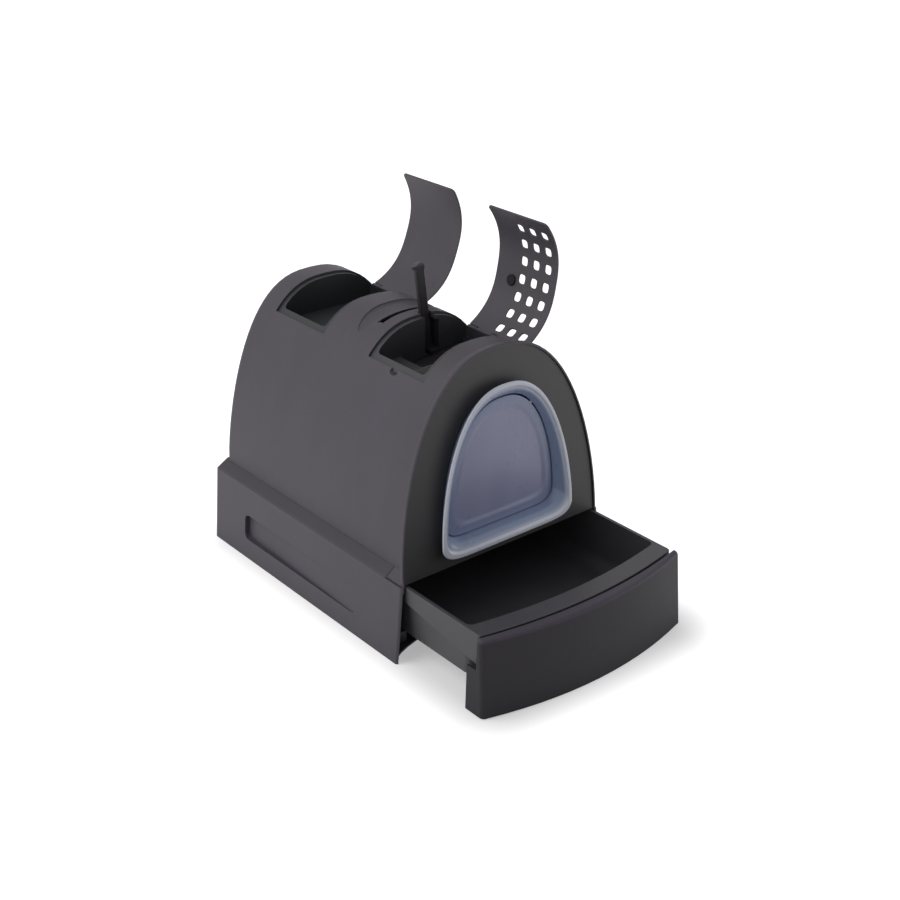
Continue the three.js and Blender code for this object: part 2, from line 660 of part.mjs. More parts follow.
function makeWell() {
  const back = frontLidY + lidLength + lidGap - rebateLip - gap - linerThick;
  const deep = (grow) => pad(wellLeft - grow, wellRight + grow, wellFront - grow, back + grow,
    wellFloor - grow, hoodTop + 20, 6 + grow);
  const angle = Math.atan(scoopLean);
  const foot = hoodTop + handleFoot * Math.cos(angle) - (handleWide / 2) * Math.sin(angle) - gap;
  const lowRight = notchRight + (hoodTop - foot) * scoopLean;
  const channelBack = handleY + handleThick / 2 + notchClear;
  const channel = (grow) => block(notchLeft - grow, lowRight + grow, back - 9, channelBack + grow,
    foot - grow, hoodTop + 20).intersect(underLid(frameDepth + wall + gap));
  const middle = scoopX - (handleFoot - panLength / 2) * scoopLean;
  const reach = panHalf + (panLength / 2) * scoopLean + pocketClear;
  const pocket = (grow) => pad(middle - reach - grow, middle + reach + grow,
    handleY + panY - panDepth - pocketClear - grow, back + grow,
    hoodTop + panTop - panLength - panHalf * scoopLean - pocketClear - grow, wellFloor + 1, 5 + grow);
  const shelf = linerRoom(frontLidY, shelfTop, linerThick);
  const outer = shelf.add(deep(linerThick)).intersect(underLid(linerTop));
  const lidBack = frontLidY + lidLength;
  const notch = block(notchLeft, notchRight, back - 9, lidBack + 9, foot + 20, hoodTop + 9);
  const slot = notch.subtract(underLid(frameDepth + wall + gap + 1));
  return join([outer, linerFlange(frontLidY), channel(linerThick), pocket(linerThick)])
    .subtract(join([linerRoom(frontLidY, shelfTop, 0), deep(0), pocket(0), channel(0), slot]));
}

function makeFilter() {
  const front = frontLidY - lidGap + rebateLip + gap + linerThick + 0.6;
  const under = shelfTop + gap;
  return pad(-filterHalf, filterHalf, front, front + filterWidth, under, under + filterThick, 5);
}

// ---------------------------------------------------------------- door
// The door's outline: an arch on a flat foot with rounded corners. The foot
// rises more slowly than the sides come in.
function doorLoop(inset, crownDrop = 0, footRise = 0) {
  const rise = Math.min(inset, ringWidth) * 1.1 + Math.max(0, inset - ringWidth) * 0.5 + footRise;
  const arch = {
    ...doorArch,
    half: doorHalf - inset,
    crown: doorCrown - inset - crownDrop,
    spring: doorFoot + doorCorner + rise,
  };
  const under = Array.from({ length: 13 }, (_, i) => {
    const turn = (Math.PI * (i + 1)) / 14;
    const [c, s] = [Math.cos(turn), Math.sin(turn)];
    return [-arch.half * Math.sign(c) * Math.abs(c) ** 0.22, arch.spring - doorCorner * s];
  });
  return [...archOver(arch, 30), ...under];
}

const pinHoles = (clear) => join([-1, 1].map((side) => {
  const [near, far] = [pivotReach - pivotDepth - 2, pivotReach + gap];
  const [x0, x1] = side < 0 ? [-far, -near] : [near, far];
  return rodX(doorPinRadius + clear, x0, x1, flapY, pivotZ);
}));

// The frame's rim leans with the front; its dished wall runs from there, at
// share 0, to the upright plane of the flap's face, at share 1.
const dishStart = leaning(-ringProud * 0.87);
const dishedWall = (share) => (z) => dishStart(z) * (1 - share) + flapFace * share;

function makeDoorFrame() {
  const outer = sleeveInset - sleeveThick;
  const rest = panelRecess - gap;
  const back = rimThick - ringProud;
  const profile = [
    [1, leaning(-ringProud)], [rimWidth, leaning(-ringProud)],
    [ringWidth * 0.62, dishedWall(0)], [ringWidth * 0.85, dishedWall(0.24)],
    [ringWidth * 1.09, dishedWall(0.58)], [sleeveInset, dishedWall(1)],
    [sleeveInset, upright(sleeveEnd)], [outer, upright(sleeveEnd)],
    [outer, leaning(rest)], [sleeveInset - frameWall, leaning(rest)],
    [ringWidth * 0.76, leaning(-ringProud * 0.13)], [ringWidth * 0.59, leaning(-ringProud * 0.47)],
    [rimWidth - 0.5, leaning(back + 1.5)], [rimWidth - 2.5, leaning(back)],
    [0, leaning(back)], [0, leaning(1 - ringProud)],
  ];
  return torus(profile.map(([inset, y]) => ringAt(doorLoop(inset), y))).subtract(pinHoles(doorPinClear));
}

function makeFlap() {
  const inset = sleeveInset + flapClear;
  const [y0, y1] = [flapFace, flapFace + flapThick];
  const body = prismY(doorLoop(inset, flapCrownClear - flapClear), y0, y1);
  const field = doorLoop(inset + flapBorder, flapCrownClear - flapClear, flapFootRise);
  const before = prismY(field, y0 - 9, flapY - flapSheet / 2);
  const behind = prismY(field, flapY + flapSheet / 2, y1 + 9);
  return body.subtract(join([before, behind, pinHoles(doorPinClear)]));
}

function makeDoorPin(side) {
  const [near, far] = [pivotReach - pivotDepth, pivotReach];
  const [x0, x1] = side < 0 ? [-far, -near] : [near, far];
  return rodX(doorPinRadius, x0, x1, flapY, pivotZ);
}

// ---------------------------------------------------------------- drawer
const trayFloor = runnerTop + gap;
const tubSlope = (tubHalfTop - tubHalfFloor) / (trayTop - trayFloor);
const tubHalf = (z) => tubHalfFloor + tubSlope * (z - trayFloor);

function makeTray() {
  const rimIn = trayHalf - tubHalfTop;
  const tubBack = trayRear - rimIn;
  const tubLoop = (z, inset, radius) => {
    const slide = tubHalf(z) - tubHalfTop - inset;
    return bowLoop(tubHalf(z) - inset, tubFrontEnd - slide, tubBow, tubBack + slide, radius, z);
  };
  const outerFillet = 3;
  const outer = loft([
    tubLoop(trayFloor, outerFillet, 14), tubLoop(trayFloor + outerFillet * 0.3, outerFillet * 0.3, 14),
    tubLoop(trayFloor + outerFillet, 0, 14), tubLoop(trayTop, 0, 11),
  ], 'z');
  const floor = trayFloor + trayWall;
  const bends = [0, 1, 2, 3, 4].map((i) => {
    const turn = (Math.PI / 2) * (i / 4);
    const [up, off] = [1 - Math.cos(turn), 1 - Math.sin(turn)];
    return tubLoop(floor + trayFillet * up, trayWall + trayFillet * off, 10 + i * 0.6);
  });
  const inner = loft([...bends, tubLoop(trayTop + 9, trayWall, 9)], 'z');
  const rimLoop = (inset, z) => (
    bowLoop(trayHalf - inset, trayFrontEnd + inset, trayBow, trayRear - inset, 6, z));
  const edge = [rimLoop(0, trayTop - 0.8), rimLoop(0.8, trayTop)];
  const rim = loft([rimLoop(0, trayTop - trayWall), ...edge], 'z');
  const skirt = loft([rimLoop(0, skirtDrop), rimLoop(0, trayTop - 1)], 'z')
    .subtract(loft([rimLoop(trayWall, skirtDrop - 9), rimLoop(trayWall, trayTop + 9)], 'z'));
  const ramp = trayFrontEnd + skirtSlope;
  const belowSkirt = prismX([
    [trayFrontEnd + 1, skirtDrop - 9], [trayFrontEnd + 1, skirtDrop], [ramp, skirtLow],
    [trayRear - 30, skirtLow], [trayRear - 20, trayTop - 22],
    [trayRear + 9, trayTop - 22], [trayRear + 9, skirtDrop - 9],
  ], -trayHalf - 9, trayHalf + 9);
  return outer.add(join([rim, skirt.subtract(belowSkirt)])).subtract(inner);
}

function makeFascia() {
  const low = (z) => 1 - z / trayTop;
  const half = (z) => fasciaHalf + fasciaSpread * low(z);
  const front = (z) => fasciaEnd - fasciaRake * low(z);
  const far = fasciaBack + baseHalf / 2;
  const loop = (z, inset, back = fasciaBack + 10 * wall) => (
    bowLoop(half(z) - inset, front(z) + inset, fasciaBow, back, 8, z));
  const outer = loft([
    loop(fasciaLow, 1), loop(fasciaLow + 1, 0), loop(trayTop - fasciaRound, 0),
    loop(trayTop - fasciaRound * 0.45, fasciaRound * 0.16),
    loop(trayTop - fasciaRound * 0.12, fasciaRound * 0.5),
    loop(trayTop, fasciaRound),
  ], 'z');
  const inner = loft([loop(-wall, trayWall, far), loop(trayTop - trayWall, 1.6 * trayWall, far)], 'z');
  const reach = trayHalf + 10 * wall;
  const bow = trayBow * (reach / trayHalf) ** 2;
  const rimFront = trayFrontEnd - fasciaSeam + bow - trayBow;
  const behind = loft([wingTop, trayTop + wall].map((z) => bowLoop(reach, rimFront, bow, far, 2, z)), 'z');
  const wings = block(-baseHalf, baseHalf, fasciaBack, far, -wall, trayTop + wall);
  const shell = outer.subtract(join([inner, behind, wings]));
  const faceY = (x) => fasciaEnd - fasciaBow * (1 - (x / fasciaHalf) ** 2);
  const rimY = (x) => trayFrontEnd - trayBow * (1 - (x / trayHalf) ** 2);
  const ribs = [-0.8, -0.4, 0, 0.4, 0.8].map((share) => share * fasciaHalf)
    .map((x) => block(x - 1.2, x + 1.2, faceY(x) - fasciaRake, rimY(x) - fasciaSeam, 20, trayTop - wall));
  const tabTop = skirtDrop - gap;
  const tabs = [-0.6, 0.6].map((share) => share * fasciaHalf)
    .map((x) => block(x - 14, x + 14, faceY(x) - fasciaRake, rimY(x) + 9, tabTop - 3, tabTop));
  return shell.add(join([...ribs, ...tabs]).intersect(outer));
}

// ---------------------------------------------------------------- scoop
// Modelled upright, with the handle's axis on Z and the hood's crown at height 0.
const panY = -handleThick / 2 - 14;       // back of the pan, from the handle's axis
const panTop = handleFoot + stepThick / 2 - 4;

function makeScoop() {
  const h = handleWide / 2;
  const t = handleThick / 2;
  const bar = pad(-h, h, -t, t, handleFoot, handleTop - h, 2.5);
  const top = rod(h, handleThick, 'y', V3(0, 0, handleTop - h), 20);
  const hook = pad(-h - 4, 0, -t, t, handleTop - 8, handleTop - 3, 2.5);
  const step = block(-h, h, panY, t - 1, handleFoot, handleFoot + stepThick);
  const bottom = panTop - panLength;
  const side = (x0, x1) => prismX([
    [panY, panTop], [panY - panDepth, panTop], [panY - panDepth, panTop - 30],
    [panY - 6, bottom], [panY, bottom],
  ], x0, x1);
  const neck = block(-h, h, panY - scoopWall, panY + 1, panTop - 1, handleFoot + stepThick);
  const plate = block(-panHalf, panHalf, panY - scoopWall, panY, bottom, panTop);
  const head = block(-panHalf, panHalf, panY - panDepth, panY, panTop - scoopWall, panTop);
  const sides = [side(-panHalf, scoopWall - panHalf), side(panHalf - scoopWall, panHalf)];
  const slots = Array.from({ length: 8 }, (_, i) => {
    const x = (i - 3.5) * 10;
    return pad(x - 2.8, x + 2.8, panY - 9, panY + 9, bottom + 14, panTop - 14, 1);
  });
  return join([bar, top, hook, step, neck, plate, head, ...sides]).subtract(join(slots));
}

// ---------------------------------------------------------------- assembly
const plastic = (color, roughness = 0.55) => (
  new THREE.MeshStandardMaterial({ color, roughness, metalness: 0 }));
const charcoal = plastic('#4b484d');
const tint = (color, opacity) => new THREE.MeshStandardMaterial({
  color, roughness: 0.3, metalness: 0, transparent: true, opacity,
});

const group = new THREE.Group();
group.name = 'hooded_litter_box';

function place(name, body, material, parent = group) {
  const mesh = new THREE.Mesh(geometryOf(body), material.clone());
  mesh.name = name;
  parent.add(mesh);
  return mesh;
}

place('base_shell', makeBase(), charcoal);
place('hood_shell', makeHood(), charcoal);
place('front_panel', makeFrontPanel(), plastic('#38353a', 0.6));
place('storage_bin', makeBin(), plastic('#464a4d'));
place('scoop_well', makeWell(), plastic('#3f3e43'));
place('carbon_filter', makeFilter(), plastic('#1b1b1d', 0.95));

function placeLid(name, body, angle, material = plastic('#4d4a4f')) {
  const hinge = new THREE.Group();
  hinge.position.set(hingeX, 0, hingeZ);
  hinge.rotation.y = angle * degrees;
  group.add(hinge);
  const mesh = place(name, body, material, hinge);
  mesh.position.set(-hingeX, 0, -hingeZ);
}
placeLid('front_lid', makeFrontLid(), frontLidOpen);
placeLid('lid_button', makeButton(), frontLidOpen, plastic('#1f1e20', 0.8));
placeLid('rear_lid', lidSlab(rearLidY), rearLidOpen);
for (const [name, lidY] of [['front_lid_pin', frontLidY], ['rear_lid_pin', rearLidY]]) {
  place(name, rodY(pinRadius, hingeX, hingeZ, lidY + 0.2, lidY + lidLength - 0.2), charcoal);
}

place('door_frame', makeDoorFrame(), tint('#97a3bd', 0.75));
place('door_flap', makeFlap(), tint('#8388a4', 0.6));
place('door_pin_left', makeDoorPin(-1), tint('#97a3bd', 0.9));
place('door_pin_right', makeDoorPin(1), tint('#97a3bd', 0.9));
place('drawer_tray', makeTray(), plastic('#413f44'));
place('drawer_front', makeFascia(), plastic('#47444a'));

const stand = new THREE.Group();
stand.position.set(scoopX, handleY, hoodTop);
stand.rotation.y = -Math.atan(scoopLean);
group.add(stand);
place('scoop', makeScoop(), plastic('#46444a'), stand);

export default group;
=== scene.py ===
"""Hooded cat litter box: finishes, fine surfaces and the studio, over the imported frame."""
import math

import bmesh
import bpy
import numpy as np
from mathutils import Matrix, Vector


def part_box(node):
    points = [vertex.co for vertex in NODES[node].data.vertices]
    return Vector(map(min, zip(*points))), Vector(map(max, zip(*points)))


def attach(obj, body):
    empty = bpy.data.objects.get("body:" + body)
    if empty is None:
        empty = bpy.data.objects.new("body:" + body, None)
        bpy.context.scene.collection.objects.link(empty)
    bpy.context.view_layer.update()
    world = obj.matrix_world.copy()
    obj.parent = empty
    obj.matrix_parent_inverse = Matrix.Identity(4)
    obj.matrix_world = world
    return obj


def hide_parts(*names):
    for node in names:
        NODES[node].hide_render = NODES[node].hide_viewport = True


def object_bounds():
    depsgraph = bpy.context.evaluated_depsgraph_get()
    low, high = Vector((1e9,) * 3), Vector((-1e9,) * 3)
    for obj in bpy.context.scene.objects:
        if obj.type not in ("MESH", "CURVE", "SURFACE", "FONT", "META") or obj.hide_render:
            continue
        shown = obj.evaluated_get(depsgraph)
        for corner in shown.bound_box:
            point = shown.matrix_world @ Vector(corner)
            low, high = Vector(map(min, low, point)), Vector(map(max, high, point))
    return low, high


bl_info = {
    "name": "Hooded Litter Box",
    "version": (1, 0, 0),
    "blender": (4, 5, 0),
    "location": "View3D > Sidebar > Litter Box",
    "description": "Builds the finish of a hooded cat litter box over its frame",
    "category": "Object",
}

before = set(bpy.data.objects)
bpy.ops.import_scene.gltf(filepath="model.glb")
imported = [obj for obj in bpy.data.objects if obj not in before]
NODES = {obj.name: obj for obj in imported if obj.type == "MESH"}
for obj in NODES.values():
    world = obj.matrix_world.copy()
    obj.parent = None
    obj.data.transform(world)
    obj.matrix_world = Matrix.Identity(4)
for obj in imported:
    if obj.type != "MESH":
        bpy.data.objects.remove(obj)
CAD_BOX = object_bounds()

# ---------------------------------------------------------------- sizes, in millimetres
MM = 0.001
BASE_HEIGHT = 121.5
SILL = 121.8
LEDGE_TOP = 134.0
FRONT_PLANE = -244.0
LEAN = 0.06                           # the front leans back by this much per millimetre of height
HOOD_ARCH = (172.0, LEDGE_TOP, 424.5, 1.5, 2.6)     # half width, spring, crown and two powers

LID_HALF = 93.0
LID_THICK = 3.0
LID_LENGTH = 127.0
LID_CORNER = 7.0
FRONT_LID_Y = -176.0
REAR_LID_Y = 64.0
FRONT_LID_OPEN = 101.0                # degrees
REAR_LID_OPEN = 110.0                 # degrees
HINGE_X = LID_HALF + 1
KNUCKLE_RADIUS = 4.0
KNUCKLE_ROOM = 4.2                    # the lid's edge stays this far from the hinge line
HOOD_KNUCKLES = ((0, 20.9), (52.5, 73.9), (105.5, LID_LENGTH))    # where it does, along the lid
LID_KNUCKLES = ((20.9, 53.1), (73.9, 106.1))
BORE_RADIUS = 2.25
HOLE = 14.0
HOLE_PITCH_Y = 25.5
HOLE_PITCH_ARC = 27.5
HOLE_ROWS = 7
HOLE_COLUMNS = 3
FIRST_HOLE_Y = 19.5
FIRST_HOLE_ARC = 30.0
HOLE_POWER = 3.75                     # squareness of the holes' corners
HOLE_REACH = 12.6                     # the grid is drawn to a hole this far from its centre
BUTTON = (119.0, 91.0)                # its place along the lid's arc and in Y

DOOR_HALF = 123.5
DOOR_CROWN = 379.0
DOOR_SPRING = 164.0
DOOR_CORNER = 24.0
DOOR_POWERS = (1.75, 2.4)             # of its height and of its half width
DOOR_FOOT_POWER = 0.22
DOOR_FOOT_RISE = (1.1, 0.5)           # per millimetre of inset, over the ring and within it
RING_WIDTH = 17.0
TINT_BEFORE, TINT_AFTER = 9, 6        # the dish's tint comes in over these rings round its start
SLEEVE_INSET = 21.0
SLEEVE_THICK = 2.0
SLEEVE_END = -226.0
FLAP_INSET = 22.4
FLAP_DROP = 1.2
FLAP_BORDER = 22.0
FLAP_RISE = 10.0                      # the field's foot stands this much higher than the border's
FLAP_Y = -232.0
FLAP_EDGE = 2.5                       # half the thickness of the flap's border
FLAP_FIELD = 1.1                      # and of its field
FLAP_FACE = FLAP_Y - FLAP_EDGE
FIELD_RINGS = 9
FIELD_INSETS = (8.0, 73.0)            # how far the first and the last of them lie within the border

PAD_CORNER_POWER = 0.16
PAD_EDGE_POWER = 0.22
PAD_HEIGHT_POWER = 0.8
PAD_CROWN = 0.1                       # its faces rise by this share of half its height

WELD_REACH = 0.02                     # corners this close are one
FLAT_ANGLE = 0.5                      # degrees, under which triangles join into one face

# Painted light and shade, in bands: their heights in millimetres, and how many times as light they are.
# The ledge's darker band is painted shade; the drawer front's lighter top edge and the scoop's lighter
# tip are painted highlights.
LEDGE_PAINTED_SHADE = (BASE_HEIGHT + 1.2, LEDGE_TOP, 0.66)
DRAWER_EDGE_HIGHLIGHT = (BASE_HEIGHT - 5, BASE_HEIGHT + 2, 3.0)
TIP_HIGHLIGHT_LENGTH = 5.0
TIP_HIGHLIGHT_SHARE = 8.0

# Studio, in metres
FLOOR_HALF = 6.0
FLOOR_GREY = (0.62, 0.62, 0.62, 1)
WHITE = (1, 1, 1, 1)
FOOT_ROUND = 0.05                     # the shade is measured from a footprint this much smaller
SHADE_NEAR, SHADE_FAR = 0.02, 0.13    # from there, the floor turns white over these distances
SHADE_GLOW = 0.38                     # its own light within the shade, where 1 is white
SKY_LIGHT = 0.3                       # the world's light on the object


def arch_height(arch, x):
    """Height of a superellipse arch: spring + rise * (1 - |x / half|^n)^(1/m)."""
    half, spring, crown, m, n = arch
    return spring + (crown - spring) * (1 - np.abs(x / half) ** n) ** (1 / m)


def srgb(red, green, blue):
    """Linear colour from 0-255 display values: ((c + 0.055) / 1.055)^2.4 above 0.04045."""
    c = np.array([red, green, blue], float) / 255
    return tuple(np.where(c <= 0.04045, c / 12.92, ((c + 0.055) / 1.055) ** 2.4)) + (1.0,)


def shade(colour, share, lift=0.0):
    """The colour, share times as light and lifted: share * c + lift, at most 1."""
    return tuple(min(1, c * share + lift) for c in colour[:3]) + (1,)


# ---------------------------------------------------------------- materials
class Finish:
    """A node material being put together, with its Principled shader."""

    def __init__(self, name, roughness, specular):
        self.material = bpy.data.materials.new(name)
        self.material.use_nodes = True
        self.tree = self.material.node_tree
        self.shader = self.tree.nodes["Principled BSDF"]
        self.shader.inputs["Roughness"].default_value = roughness
        self.shader.inputs["Specular IOR Level"].default_value = specular
        self.place = self.tree.nodes.new("ShaderNodeTexCoord").outputs["Object"]

    def add(self, kind, **settings):
        node = self.tree.nodes.new(kind)
        for key, value in settings.items():
            setattr(node, key, value)
        return node

    def link(self, source, target):
        self.tree.links.new(source, target)

    def noise(self, scale, detail, roughness, stretch=None):
        """Noise on the object's own metres, at `scale` cells per metre."""
        node = self.add("ShaderNodeTexNoise")
        node.inputs["Scale"].default_value = scale
        node.inputs["Detail"].default_value = detail
        node.inputs["Roughness"].default_value = roughness
        source = self.place
        if stretch:
            turn = self.add("ShaderNodeMapping")
            turn.inputs["Scale"].default_value = stretch
            self.link(self.place, turn.inputs["Vector"])
            source = turn.outputs["Vector"]
        self.link(source, node.inputs["Vector"])
        return node.outputs["Fac"]

    def ramp(self, value, stops):
        """Colours at the stops (position, colour), and blends between them."""
        node = self.add("ShaderNodeValToRGB")
        ramp = node.color_ramp
        ramp.elements[0].position, ramp.elements[0].color = stops[0]
        ramp.elements[1].position, ramp.elements[1].color = stops[-1]
        for position, colour in stops[1:-1]:
            ramp.elements.new(position).color = colour
        self.link(value, node.inputs["Fac"])
        return node.outputs["Color"]

    def spread(self, value, low, high):
        """Maps a 0-1 value to low-high."""
        node = self.add("ShaderNodeMapRange")
        node.inputs["To Min"].default_value = low
        node.inputs["To Max"].default_value = high
        self.link(value, node.inputs["Value"])
        return node.outputs["Result"]

    def mix(self, share, first, second, mode="MIX"):
        """Mixes `share` of the second into the first; each is a socket or a value."""
        node = self.add("ShaderNodeMix", data_type="RGBA", blend_type=mode)
        # Its inputs 0, 6 and 7 and its output 2 are the ones for colours.
        for value, socket in ((share, node.inputs[0]), (first, node.inputs[6]), (second, node.inputs[7])):
            if isinstance(value, bpy.types.NodeSocket):
                self.link(value, socket)
            else:
                socket.default_value = value
        return node.outputs[2]

    def sum(self, first, second, weight):
        """first + weight * second"""
        node = self.add("ShaderNodeMath", operation="MULTIPLY_ADD")
        self.link(second, node.inputs[0])
        node.inputs[1].default_value = weight
        self.link(first, node.inputs[2])
        return node.outputs[0]

    def bump(self, height, depth, strength=1.0):
        node = self.add("ShaderNodeBump")
        node.inputs["Strength"].default_value = strength
        node.inputs["Distance"].default_value = depth
        self.link(height, node.inputs["Height"])
        self.link(node.outputs["Normal"], self.shader.inputs["Normal"])


def moulded(name, colour, roughness, grain, specular=0.4, painted_band=None):
    """Moulded plastic: fine leather-like grain, faint flow marks, uneven sheen and a trace of dust.
    The band is (lowest, highest, share): between those heights in millimetres it is share times as light,
    painted shade where share is under 1 and a painted highlight where it is over 1."""
    finish = Finish(name, roughness, specular)
    fine = finish.noise(1500, 3, 0.6)
    coarse = finish.noise(520, 2, 0.5)
    flow = finish.noise(14, 4, 0.55, (1.0, 1.0, 0.35))
    scuffs = finish.noise(60, 6, 0.75, (1.0, 0.3, 1.0))
    tone = finish.ramp(flow, [(0.3, shade(colour, 0.9)), (0.7, shade(colour, 1.12))])
    tone = finish.mix(finish.spread(scuffs, 0.0, 0.12), tone, shade(colour, 1, 0.05))
    if painted_band:
        tone = painted_light_band(finish, tone, painted_band[0] * MM, painted_band[1] * MM, painted_band[2])
    pits = finish.ramp(fine, [(0.35, (0.86, 0.86, 0.86, 1)), (0.6, (1, 1, 1, 1))])
    tone = finish.mix(0.6, tone, pits, "MULTIPLY")
    finish.link(tone, finish.shader.inputs["Base Color"])
    sheen = finish.spread(finish.sum(coarse, flow, 0.8), roughness - 0.10, roughness + 0.05)
    finish.link(sheen, finish.shader.inputs["Roughness"])
    finish.bump(finish.sum(coarse, fine, 0.7), grain)
    return finish.material


def painted_light_band(finish, tone, low, high, share):
    """The tone, share times as light where Z is from low to high, with soft ends 1.5 mm long: painted
    shade where share is under 1, a painted highlight where it is over 1.
    """
    height = finish.add("ShaderNodeSeparateXYZ")
    finish.link(finish.place, height.inputs[0])
    outside, inside = (0, 0, 0, 1), (1, 1, 1, 1)
    mask = finish.ramp(height.outputs[2], [(low - 0.001, outside), (low + 0.0005, inside),
                                           (high - 0.0005, inside), (high + 0.001, outside)])
    return finish.mix(mask, tone, finish.mix(1.0, tone, (share, share, share, 1), "MULTIPLY"))


def tinted(name, colour, border):
    """Tinted glossy plastic: faintly wavy, with soft handling marks. Where its `tone` attribute says, it
    takes the border's deeper tint: on the flap, its thicker border; on the door frame, its dish, while
    the frame's lighter colour on the bead is a painted highlight."""
    roughness = 0.28
    finish = Finish(name, roughness, 0.5)
    flow = finish.noise(14, 1, 0.4, (1.0, 1.0, 0.5))
    smear = finish.noise(28, 4, 0.55)
    tone = finish.ramp(flow, [(0.3, shade(colour, 0.93)), (0.7, shade(colour, 1.07))])
    thick = finish.add("ShaderNodeAttribute", attribute_name="tone")
    tone = finish.mix(thick.outputs["Fac"], tone, tuple(border))
    tone = finish.mix(finish.spread(smear, 0, 0.03), tone, shade(colour, 1, 0.06))
    finish.link(tone, finish.shader.inputs["Base Color"])
    sheen = finish.spread(smear, roughness - 0.05, roughness + 0.06)
    finish.link(sheen, finish.shader.inputs["Roughness"])
    finish.shader.inputs["IOR"].default_value = 1.49
    finish.bump(finish.sum(flow, finish.noise(1400, 2, 0.5), 0.006), 0.0005, 0.2)
    return finish.material


def soft_rubber(name, colour):
    """Dull rubber with a fine tooth and dusty high spots."""
    finish = Finish(name, 0.75, 0.25)
    fine = finish.noise(1800, 3, 0.6)
    dust = finish.noise(220, 5, 0.7)
    tone = finish.mix(finish.spread(dust, 0, 0.2), colour, shade(colour, 1, 0.03))
    finish.link(tone, finish.shader.inputs["Base Color"])
    finish.link(finish.spread(dust, 0.65, 0.85), finish.shader.inputs["Roughness"])
    finish.bump(fine, 0.00006)
    return finish.material


def felt(name, colour):
    """Fibrous filter pad: short tangled fibres, dull."""
    finish = Finish(name, 0.95, 0.15)
    strands = finish.noise(900, 6, 0.8, (1.0, 0.25, 1.0))
    cross = finish.noise(800, 6, 0.8, (0.25, 1.0, 1.0))
    clump = finish.noise(90, 4, 0.6)
    low, high = shade(colour, 0.6), shade(colour, 1.7)
    fibres = finish.sum(strands, cross, 1.0)
    tone = finish.ramp(fibres, [(0.6, low), (1.0, high)])
    tone = finish.mix(0.4, tone, finish.ramp(clump, [(0.3, low), (0.7, high)]))
    finish.link(tone, finish.shader.inputs["Base Color"])
    finish.bump(fibres, 0.0009)
    finish.shader.inputs["Sheen Weight"].default_value = 0.25
    return finish.material


def seen_rays(tree):
    """1 for rays that show the background: straight from the camera, reflected, or let through."""
    path = tree.nodes.new("ShaderNodeLightPath")
    value = path.outputs["Is Camera Ray"]
    for kind in ("Is Glossy Ray", "Is Transmission Ray"):
        larger = tree.nodes.new("ShaderNodeMath")
        larger.operation = "MAXIMUM"
        tree.links.new(value, larger.inputs[0])
        tree.links.new(path.outputs[kind], larger.inputs[1])
        value = larger.outputs[0]
    return value


# ---------------------------------------------------------------- meshes
def smooth_faces(mesh):
    mesh.polygons.foreach_set("use_smooth", np.ones(len(mesh.polygons), bool))


def soften(obj, width, segments, degrees, weight):
    """Rounds edges sharper than `degrees`, and evens the shading of flat faces by `weight`."""
    if width:
        edge = obj.modifiers.new("soft edges", "BEVEL")
        edge.width = width
        edge.segments = segments
        edge.limit_method = "ANGLE"
        edge.angle_limit = math.radians(degrees)
    even = obj.modifiers.new("even shading", "WEIGHTED_NORMAL")
    even.keep_sharp = True
    even.weight = weight


def dress(node, material, edge_width):
    """Gives a CAD node its material, softened edges and smooth shading. Modifiers join its loose
    triangles into plain faces first, so that its own mesh keeps them."""
    obj = NODES[node]
    obj.data.materials.clear()
    obj.data.materials.append(material)
    smooth_faces(obj.data)
    weld = obj.modifiers.new("join", "WELD")
    weld.merge_threshold = WELD_REACH * MM
    flat = obj.modifiers.new("plain faces", "DECIMATE")
    flat.decimate_type = "DISSOLVE"
    flat.angle_limit = math.radians(FLAT_ANGLE)
    soften(obj, edge_width, segments=2, degrees=28, weight=60)


def quads(rows, columns, around=False, along=False, keep=None):
    """Quads of a grid of rows x columns points; `around` closes its rows on themselves,
    `along` joins the last row to the first, and `keep` is a mask of the cells to make."""
    r, c = np.meshgrid(np.arange(rows if along else rows - 1),
                       np.arange(columns if around else columns - 1), indexing="ij")
    if keep is not None:
        r, c = r[keep], c[keep]
    r, c = r.ravel(), c.ravel()
    r2, c2 = (r + 1) % rows, (c + 1) % columns
    return np.stack([r * columns + c, r * columns + c2, r2 * columns + c2, r2 * columns + c], -1).tolist()


def ring_skin(rings, closed=False):
    """A skin over like loops (K x N x 3): walls between them, and flat ends unless closed."""
    rings = np.asarray(rings, float)
    rows, columns = rings.shape[:2]
    faces = quads(rows, columns, around=True, along=closed)
    if not closed:
        faces += [list(range(columns))[::-1], list(range((rows - 1) * columns, rows * columns))]
    return rings.reshape(-1, 3), faces


def build(name, parts, body, material, nodes, wall=0.0, edge_width=0.0, tone=None):
    """Joins (points in millimetres, faces) parts into one mesh that rides on its body and stands
    for CAD nodes. Touching points are merged; closed parts get their faces turned outwards, and
    a sheet, which has a wall, keeps its own side out and gets its wall inwards."""
    points, faces, start = [], [], 0
    for part_points, part_faces in parts:
        points.append(np.asarray(part_points, float).reshape(-1, 3))
        faces += [[start + i for i in face] for face in part_faces]
        start += len(points[-1])
    mesh = bpy.data.meshes.new(name)
    mesh.from_pydata((np.concatenate(points) * MM).tolist(), [], faces)
    if tone is not None:
        shares = mesh.attributes.new("tone", "FLOAT", "POINT").data
        shares.foreach_set("value", np.asarray(tone, np.float32).ravel())
    form = bmesh.new()
    form.from_mesh(mesh)
    bmesh.ops.remove_doubles(form, verts=form.verts, dist=1e-6)
    if not wall:
        bmesh.ops.recalc_face_normals(form, faces=form.faces)
    form.to_mesh(mesh)
    form.free()
    smooth_faces(mesh)
    mesh.materials.append(material)
    obj = bpy.data.objects.new(name, mesh)
    bpy.context.scene.collection.objects.link(obj)
    if wall:
        thick = obj.modifiers.new("wall", "SOLIDIFY")
        thick.thickness = wall * MM
        thick.offset = -1
        thick.use_even_offset = True
    if edge_width:
        soften(obj, edge_width * MM, segments=3, degrees=35, weight=50)
    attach(obj, body)
    if nodes:
        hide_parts(*nodes)
    return obj


